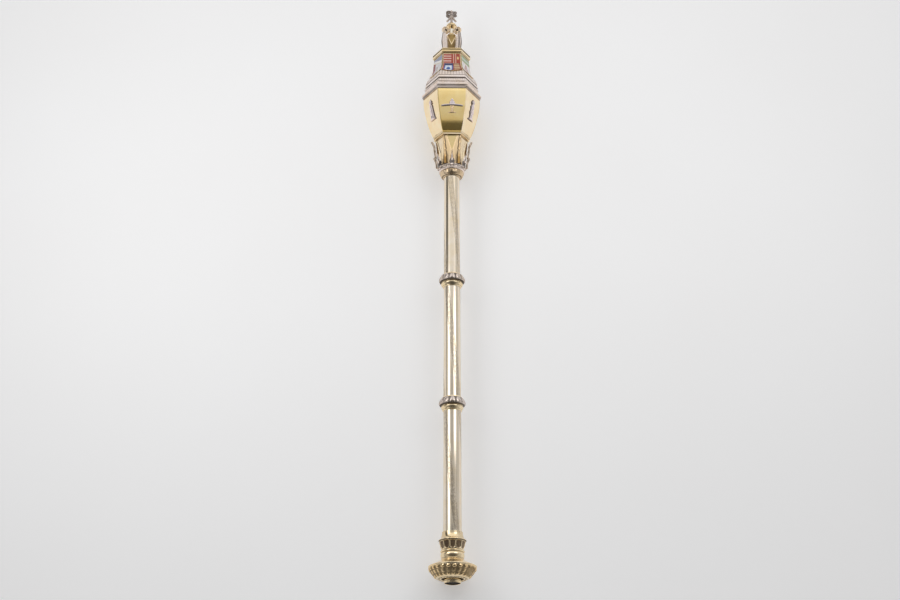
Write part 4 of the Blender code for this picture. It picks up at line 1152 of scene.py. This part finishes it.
def make_roof_cornice():
    """The gilt cornice over the drum: a low roof with a rounded edge, a dark quirk, a tall fascia and two
    small steps down to the drum. The quirk and the steps are painted dark as shade; the quirk's painted
    shade is higher and darker on every second side, and those sides are tinted paler as a painted sheen."""
    edge, high = UPPER_CORNICE, UPPER_CORNICE_TOP
    outline = fine(eased([
        (CORE, DRUM_TOP + GAP), (edge - 0.0034, DRUM_TOP + GAP), (edge - 0.0031, high - 0.0128),
        (edge - 0.0019, high - 0.0125), (edge - 0.0017, high - 0.0112), (edge - 0.0003, high - 0.0109),
        (edge, high - 0.0104), (edge, high - 0.0078), (edge - 0.0005, high - 0.0074),
        (edge - 0.0016, high - 0.0070), (edge - 0.0016, high - 0.0058), (edge - 0.0004, high - 0.0054),
        (edge, high - 0.0048), (edge - 0.0003, high - 0.0034), (edge - 0.0012, high - 0.0024),
        (edge - 0.0090, high), (CORE, high),
    ], 0.0002), 0.0015, 0.0280)
    grid, off, side = six_sided(outline, across=14, arris=0.0004)
    rise, warm = outline[:, 1:] - high + 0 * off, side % 2 == 0
    quirk = np.where(warm, band(rise, -0.0064, 0.0008, 0.0004) * 0.75,
                     band(rise, -0.0055, 0.0012, 0.0004) * 0.85)
    steps = np.maximum(step_up(-rise, 0.0107, 0.0112) * 0.35, step_up(-rise, 0.0125, 0.0129) * 0.6)
    dark = np.maximum(quirk, steps) * (outline[:, :1] > 0.034)
    tint = gilt_tint_with_painted_sheen(warm) + washed(warm, (0.0, -0.005, 0.12))
    piece("roof_cornice", "upper_cornice", [shell(grid, dark, 0.0, tint)], POLISHED_GILT, 30)


# --- lantern and finial -------------------------------------------------------------------------


def make_baluster():
    """The lantern's core: a spreading foot, a stout stem and a plain neck under the dome. The stem is
    painted dark and brown, as the shade inside the lantern. Three tapering tongues hang down the stem from a
    cup. Each has a raised border, painted paler as a highlight, and its half-width is the height above its
    point to the power 0.8."""
    foot, columns = UPPER_CORNICE_TOP + GAP, 120
    point, cup = 1.1125, 1.1370
    outline = fine(eased([
        (0.0010, foot), (0.0098, foot), (0.0098, foot + 0.0016), (0.0094, foot + 0.0030), (0.0086, 1.1000),
        (0.0080, 1.1035), (0.0078, 1.1120), (0.0080, 1.1290), (0.0088, 1.1340), (0.0094, 1.1368),
        (0.0094, 1.1380), (0.0082, 1.1392), (0.0056, 1.1405), (0.0050, 1.1430), (0.0050, LANTERN_TOP),
        (0.0010, LANTERN_TOP),
    ], 0.0006, 4), 0.0008, 0.0040)
    azimuth, height = around(columns)[None], outline[:, 1:]
    off = np.abs(cell_place(azimuth, 3)) * TURN / 3
    edge = (off - 1.25 * np.clip((height - point) / (cup - point), 0, 1) ** 0.8) * 0.0086
    on = plateau(height, 1.1105, point, 1.1350, 1.1385)
    border = line(edge, -0.0009, 0.0012) * on
    tongue = (1 - step_up(edge, -0.0004, 0.0002)) * on
    stem = plateau(height, 1.1010, 1.1035, 1.1350, 1.1370)
    grid = raised(turned(outline, columns), 0.0004 * tongue + 0.0005 * border)
    chasing = np.clip(0.62 + 0.25 * np.cos(height / 0.0022 * TURN + off * 4), 0, 1)
    # painted shade on the stem between the tongues; the tongues are darker inside, with chasing
    dark = np.maximum.reduce([
        stem * (1 - tongue) * 0.75, tongue * (1 - border) * chasing,
        0.7 * band(height, 1.0955, 0.0003, 0.0004) + 0 * azimuth,
    ])
    neck = step_up(height, 1.1410, 1.1430) + 0 * azimuth
    # the stem is painted browner as shade, and the tongues' borders paler as highlights
    tint = 1 - washed(stem * (1 - border), (0.06, 0.22, 0.55)) + washed(border, (0.12, 0.10, 0.10))
    tint = tint + washed(neck, (-0.12, 0.02, 0.40))
    piece("lantern_baluster", "lantern_core", [shell(grid, dark, 0.0, tint)], POLISHED_GILT, 50)


def scroll_disc(centre, radius, half):
    """A volute: a flat disc turned about X. On both faces a ridge winds in to a deep eye as a spiral: the
    cosine of the radius less a share of the angle."""
    eye_edge, pitch = 0.0028, 0.0030
    outline = fine(eased([
        (0.0003, -half), (radius - 0.0006, -half), (radius, -half + 0.0006), (radius, half - 0.0006),
        (radius - 0.0006, half), (0.0003, half),
    ], 0.0004), 0.0005)
    r, x, a = outline[:, :1], outline[:, 1:], around(72)[None]
    face = step_up(np.abs(x), half - 0.0002, half)
    ridge = np.cos((r / pitch - np.where(x > 0, a, -a) / TURN) * TURN)
    eye = 1 - step_up(r, 0.0022, eye_edge)
    worked = plateau(r, eye_edge, 0.0036, radius - 0.0012, radius - 0.0004)
    out = x + np.sign(x) * face * (0.0005 * ridge * worked - 0.0016 * eye)
    grid = np.stack(np.broadcast_arrays(out, r * np.cos(a), r * np.sin(a)), -1) + centre
    # painted shade in the eye and between the turns of the ridge
    between = np.clip(-ridge - 0.2, 0, 1) * 0.6 * step_up(r, eye_edge, 0.0034)
    return grid, face * np.maximum(eye, between)


def squared(value):
    """A sine or cosine drawn out towards -1 and 1, which turns a circle into a rounded square."""
    return np.sign(value) * np.abs(value) ** 0.45


def make_scroll_brackets():
    """Three scrolled brackets. A curved leg, a rounded square in section and reeded along its sides, stands
    in the plane through the axis, and ends in a volute under the dome."""
    foot = UPPER_CORNICE_TOP + GAP
    rows = smooth_run([  # rise, inner radius and outer radius
        (0.0000, 0.0104, 0.0224), (0.0080, 0.0104, 0.0216), (0.0170, 0.0098, 0.0230),
        (0.0250, 0.0096, 0.0238), (0.0340, 0.0108, 0.0232), (0.0410, 0.0124, 0.0218),
        (0.0460, 0.0130, 0.0212), (0.0520, 0.0136, 0.0200),
    ], 5)
    rise, inner, outer = rows[:, :1], rows[:, 1:2], rows[:, 2:]
    a = around(36)[None]
    across, share = squared(np.sin(a)), squared(np.cos(a))
    reed = np.cos(share * 3.2 * np.pi) * (np.abs(across) > 0.8)
    x = across * 0.0018 + np.sign(across) * 0.00035 * reed
    reach = (inner + outer) / 2 + (outer - inner) / 2 * share
    leg = np.stack(np.broadcast_arrays(x, -reach, foot + rise), -1)[:, ::-1]
    # painted shade in the reeds' grooves and along the leg's outer side
    dark = np.maximum(np.clip(-reed - 0.1, 0, 1) * 0.75, step_up(share, 0.70, 0.90) * 0.75) + 0 * rise
    disc, eye = scroll_disc((0.0, -(VOLUTE + 0.0059), LANTERN_TOP - VOLUTE - 0.0020), VOLUTE, 0.0023)
    toe = ball((0.0, -0.0222, foot + 0.0022), 0.0022, 8, 16)
    for number, azimuth in enumerate(np.radians((60, 180, 300))):
        shells = [
            shell(turned_about(leg, azimuth), dark[:, ::-1]),
            shell(turned_about(disc, azimuth), eye, 0.0, (1.0, 0.95, 0.80)),
            shell(turned_about(toe, azimuth), 0.1),
        ]
        piece(f"scrolled_bracket_{number + 1}", f"scroll_bracket_{number + 1}", shells, CAST_SILVER, 50)


def make_dome():
    """A low dome on a beaded edge: part of an ellipse turned round, with ribs that are a cosine."""
    foot, columns = LANTERN_TOP + GAP, 10 * DOME_RIBS
    a = np.radians(np.linspace(20, 75, 22))
    dome = np.stack([0.0120 * np.cos(a), foot - 0.0028 + 0.0146 * np.sin(a)], -1)
    edge = eased([(0.0010, foot), (0.0118, foot), (0.0120, foot + 0.0008), (0.0114, foot + 0.0016)], 0.0003)
    outline = np.concatenate([fine(edge, 0.0005, 0.0095), dome, [(0.0012, DOME_TOP)]])
    azimuth, height = around(columns)[None], outline[:, 1:]
    on = plateau(height, foot + 0.0022, foot + 0.0030, DOME_TOP - 0.0012, DOME_TOP - 0.0004)
    ribs = np.abs(np.cos(azimuth * DOME_RIBS / 2))
    grid = raised(turned(outline, columns), on * 0.0003 * ribs)
    # painted shade between the ribs and under the beaded edge
    dark = np.maximum(on * np.clip(0.35 - ribs, 0, 1), 0.7 * band(height, foot + 0.0010, 0.0005, 0.0003))
    piece("ribbed_dome", "dome_cap", [shell(grid, dark, 0.15, (1.03, 1.0, 0.95))], POLISHED_GILT, 50)


def make_finial():
    """A knot of two crossed, tilted hoops round a ball, with a bud on top, on three splayed legs that stand
    on small balls. A hoop is a circle squeezed to an ellipse, and a leg a bent tapering rod."""
    base = DOME_TOP + GAP
    knot = np.array((0.0, 0.0, LENGTH - 0.0098))
    shells, t, a = [], np.linspace(0, 1, 14), around(40)
    for azimuth in np.radians((72, 180, 288)):
        path = upright(0.0096 - 0.0082 * t**0.75, azimuth, base + 0.0020 + 0.0135 * t)
        leg = tube(path, 0.0020 + 0.0004 * t, 10, (math.cos(azimuth), math.sin(azimuth), 0))
        shells.append(shell(leg, 0.40))
        shells.append(shell(ball(upright(0.0094, azimuth, base + 0.0019), 0.0019), 0.2))
    long, short, sway = 0.0102 * np.cos(a), 0.0048 * np.sin(a), 0.0012 * np.sin(2 * a)
    for lean in (-0.45, 0.45):
        c, s = math.cos(lean), math.sin(lean)
        hoop = np.stack([long * c - short * s, sway, long * s + short * c], -1)
        ring = tube(knot + hoop, 0.0018 + 0.0004 * np.cos(2 * a), 10, (0, 1, 0), looped=True)
        shells.append(shell(ring, 0.65, looped=True))
    shells.append(shell(ball(knot, 0.0042, 10, 20), 0.45))
    shells.append(shell(ball(knot + (0, 0, 0.0066), 0.0030, 10, 16), 0.15))
    stem = tube(np.array([(0, 0, base), (0, 0, base + 0.010), (0, 0, LENGTH - 0.012)]), 0.0024, 14)
    shells.append(shell(stem, 0.4))
    piece("crossed_finial", "finial", shells, CAST_SILVER, 55)


# --- studio -------------------------------------------------------------------------------------


def make_sheet():
    """The paper under the mace: a flat sheet, far wider than the view, with a few wide divisions."""
    reach, divisions = 12.0, 8
    side = np.linspace(-reach, reach, divisions + 1)
    x, y = np.meshgrid(side, side, indexing="ij")
    points = np.stack([x, y, np.zeros_like(x)], -1).reshape(-1, 3)
    i = (np.arange(divisions)[:, None] * (divisions + 1) + np.arange(divisions)[None]).ravel()
    faces = np.stack([i, i + divisions + 1, i + divisions + 2, i + 1], -1)
    mesh = bpy.data.meshes.new("paper_sheet")
    mesh.from_pydata(points.tolist(), [], faces.tolist())
    mesh.materials.append(SHEET)
    sheet = bpy.data.objects.new("paper_sheet", mesh)
    bpy.context.scene.collection.objects.link(sheet)


def aimed(place, target):
    """A place, and the turn that points -Z from it to a target. Both are given as if the mace stood upright,
    and are laid down with it."""
    place, target = (Vector(laid_down(np.array(p, float))) for p in (place, target))
    return place, (target - place).to_track_quat("-Z", "Y").to_matrix().to_4x4()


def add_panel(name, place, wide, long, glow, soft):
    """A soft light panel that faces the axis at its own height. Its power is how bright it looks, times pi,
    times its area. Its glow fades to nothing over the `soft` shares of its width and of its length at each
    edge, as a diffuser's does, and where they are 0 it is even."""
    lamp = bpy.data.lights.new(name, "AREA")
    lamp.shape = "RECTANGLE"
    lamp.size, lamp.size_y = wide, long
    lamp.energy = glow * math.pi * wide * long
    if max(soft) > 0:
        lamp.use_nodes = True
        tree = lamp.node_tree
        tree.nodes.clear()
        spread = add(tree, "SeparateXYZ", {"Vector": add(tree, "NewGeometry").outputs["Parametric"]})
        fall = 1.0
        for axis, share in zip("XY", soft):
            for start, end in ((0.0, share), (1.0, 1.0 - share)):
                edge = add(tree, "MapRange", {"Value": spread.outputs[axis], "From Min": start,
                                              "From Max": end}, interpolation_type="SMOOTHSTEP").outputs[0]
                fall = add(tree, "Math", {0: edge, 1: fall}, operation="MULTIPLY").outputs[0]
        cloth = add(tree, "Emission", {"Strength": fall})
        add(tree, "OutputLight", {"Surface": cloth.outputs[0]})
    panel = bpy.data.objects.new(name, lamp)
    panel.visible_camera = False
    bpy.context.scene.collection.objects.link(panel)
    spot, turn = aimed(place, (0, 0, place[2]))
    panel.matrix_world = Matrix.Translation(spot) @ turn


def light_studio():
    """Two soft boxes stand either side of the staff, two wide panels hang over the head, and a dim one
    hangs high above. The room is palest beyond the head, and dark overhead, beyond the foot and low on the
    left."""
    for name, place, wide, long, glow, soft in (
        ("left_box", (-0.77, -0.79, 0.70), 0.86, 0.78, 1.64, (0.22, 0.30)),
        ("right_box", (0.61, -0.91, 0.80), 0.56, 0.78, 1.55, (0.22, 0.25)),
        ("near_panel", (0, -1.2, 0.994), 3.2, 0.274, 0.16, (0.0, 0.0)),
        ("far_panel", (0, -1.2, 1.79), 3.2, 1.32, 0.30, (0.0, 0.0)),
        ("high_panel", (0, -2.7, 1.995), 6.0, 2.41, 0.34, (0.0, 0.0)),
    ):
        add_panel(name, place, wide, long, glow, soft)
    world = bpy.data.worlds.new("studio_room")
    bpy.context.scene.world = world
    world.use_nodes = True
    tree = world.node_tree
    tree.nodes.clear()
    way = add(tree, "SeparateXYZ", {"Vector": add(tree, "TexCoord").outputs["Generated"]})
    height, along = way.outputs["Z"], way.outputs["Y"]
    across = add(tree, "Math", {0: way.outputs["X"], 1: -1.0}, operation="MULTIPLY").outputs[0]
    lean = add(tree, "Math", {0: height, 1: across}, operation="ARCTAN2").outputs[0]
    # Each row turns a direction into a brightness: the value, where it starts and ends, and how bright each
    # end is. They are the room from the walls up to overhead, beyond the head, beyond the foot, how far down
    # the left the dark wall reaches, and how much it darkens there.
    overhead, beyond_head, beyond_foot, low_left, darkening = (
        add(tree, "MapRange", {"Value": value, "From Min": low, "From Max": high, "To Min": start,
                               "To Max": end}, interpolation_type="SMOOTHSTEP").outputs[0]
        for value, low, high, start, end in (
            (height, 0.35, 0.92, 0.55, 0.12), (along, 0.25, 0.95, 0.0, 0.45),
            (along, -0.35, -0.95, 0.0, -0.38), (lean, 0.62, 0.40, 0.0, 1.0), (along, 0.36, 0.43, 0.22, 0.85),
        )
    )
    ends = add(tree, "Math", {0: beyond_head, 1: beyond_foot}, operation="ADD").outputs[0]
    total = add(tree, "Math", {0: overhead, 1: ends}, operation="ADD").outputs[0]
    wall = add(tree, "Math", {0: low_left, 1: darkening}, operation="MULTIPLY").outputs[0]
    open_side = add(tree, "Math", {0: 1.0, 1: wall}, operation="SUBTRACT").outputs[0]
    total = add(tree, "Math", {0: total, 1: open_side}, operation="MULTIPLY").outputs[0]
    total = add(tree, "Math", {0: total, 1: 0.05}, operation="MAXIMUM").outputs[0]
    seen = add(tree, "LightPath").outputs["Is Camera Ray"]
    glow = add(tree, "Mix", {0: seen, 2: total, 3: 0.8}, data_type="FLOAT")
    room = add(tree, "Background", {"Color": rgba("#FFFFFF"), "Strength": glow.outputs[0]})
    add(tree, "OutputWorld", {"Surface": room.outputs[0]})


def set_camera():
    """The camera looks down on the front of the lying mace from over its foot."""
    place = np.array((-0.060, -2.748, -0.5904))
    target = np.array((0.0, 0.0, 0.5478))
    ahead = (target - place) / np.linalg.norm(target - place)
    right = np.cross(ahead, (0, 0, 1))
    right /= np.linalg.norm(right)
    over = np.cross(right, ahead)
    c, s = math.cos(math.radians(0.11)), math.sin(math.radians(0.11))  # a slight roll
    right, over = right * c - over * s, over * c + right * s
    lens = bpy.data.cameras.new("camera")
    lens.lens, lens.sensor_width = 62.0, 36.0
    lens.shift_x = -0.0022222
    camera = bpy.data.objects.new("camera", lens)
    bpy.context.scene.collection.objects.link(camera)
    origin = laid_down(np.zeros(3))
    axes = [laid_down(v) - origin for v in (right, over, -ahead)]
    matrix = Matrix.Identity(4)
    for k in range(3):
        matrix.col[k][:3] = axes[k]
    matrix.col[3][:3] = laid_down(place)
    camera.matrix_world = matrix
    bpy.context.scene.camera = camera


set_camera()
make_sheet()
light_studio()
make_end_boss()
make_gadrooned_pommel()
make_spool()
make_arcaded_socket()
make_shaft("lower_shaft", "shaft_lower", SOCKET_TOP + GAP, LOWER_KNOP - KNOP_DROP - GAP)
make_shaft("middle_shaft", "shaft_middle", LOWER_KNOP + KNOP_RISE + GAP, UPPER_KNOP - KNOP_DROP - GAP)
make_shaft("upper_shaft", "shaft_upper", UPPER_KNOP + KNOP_RISE + GAP, COLLAR_BOTTOM - GAP)
make_knop("lower_knop", "knop_lower", LOWER_KNOP)
make_knop("upper_knop", "knop_upper", UPPER_KNOP)
for make in (
    make_collar, make_calyx, make_leaf_coronet, make_corner_leaves, make_vase, make_devices,
    make_great_cornice, make_arcaded_frieze, make_drum, make_enamel_shields, make_roof_cornice,
    make_baluster, make_scroll_brackets, make_dome, make_finial,
):
    make()

bpy.context.scene.view_settings.view_transform = "Standard"
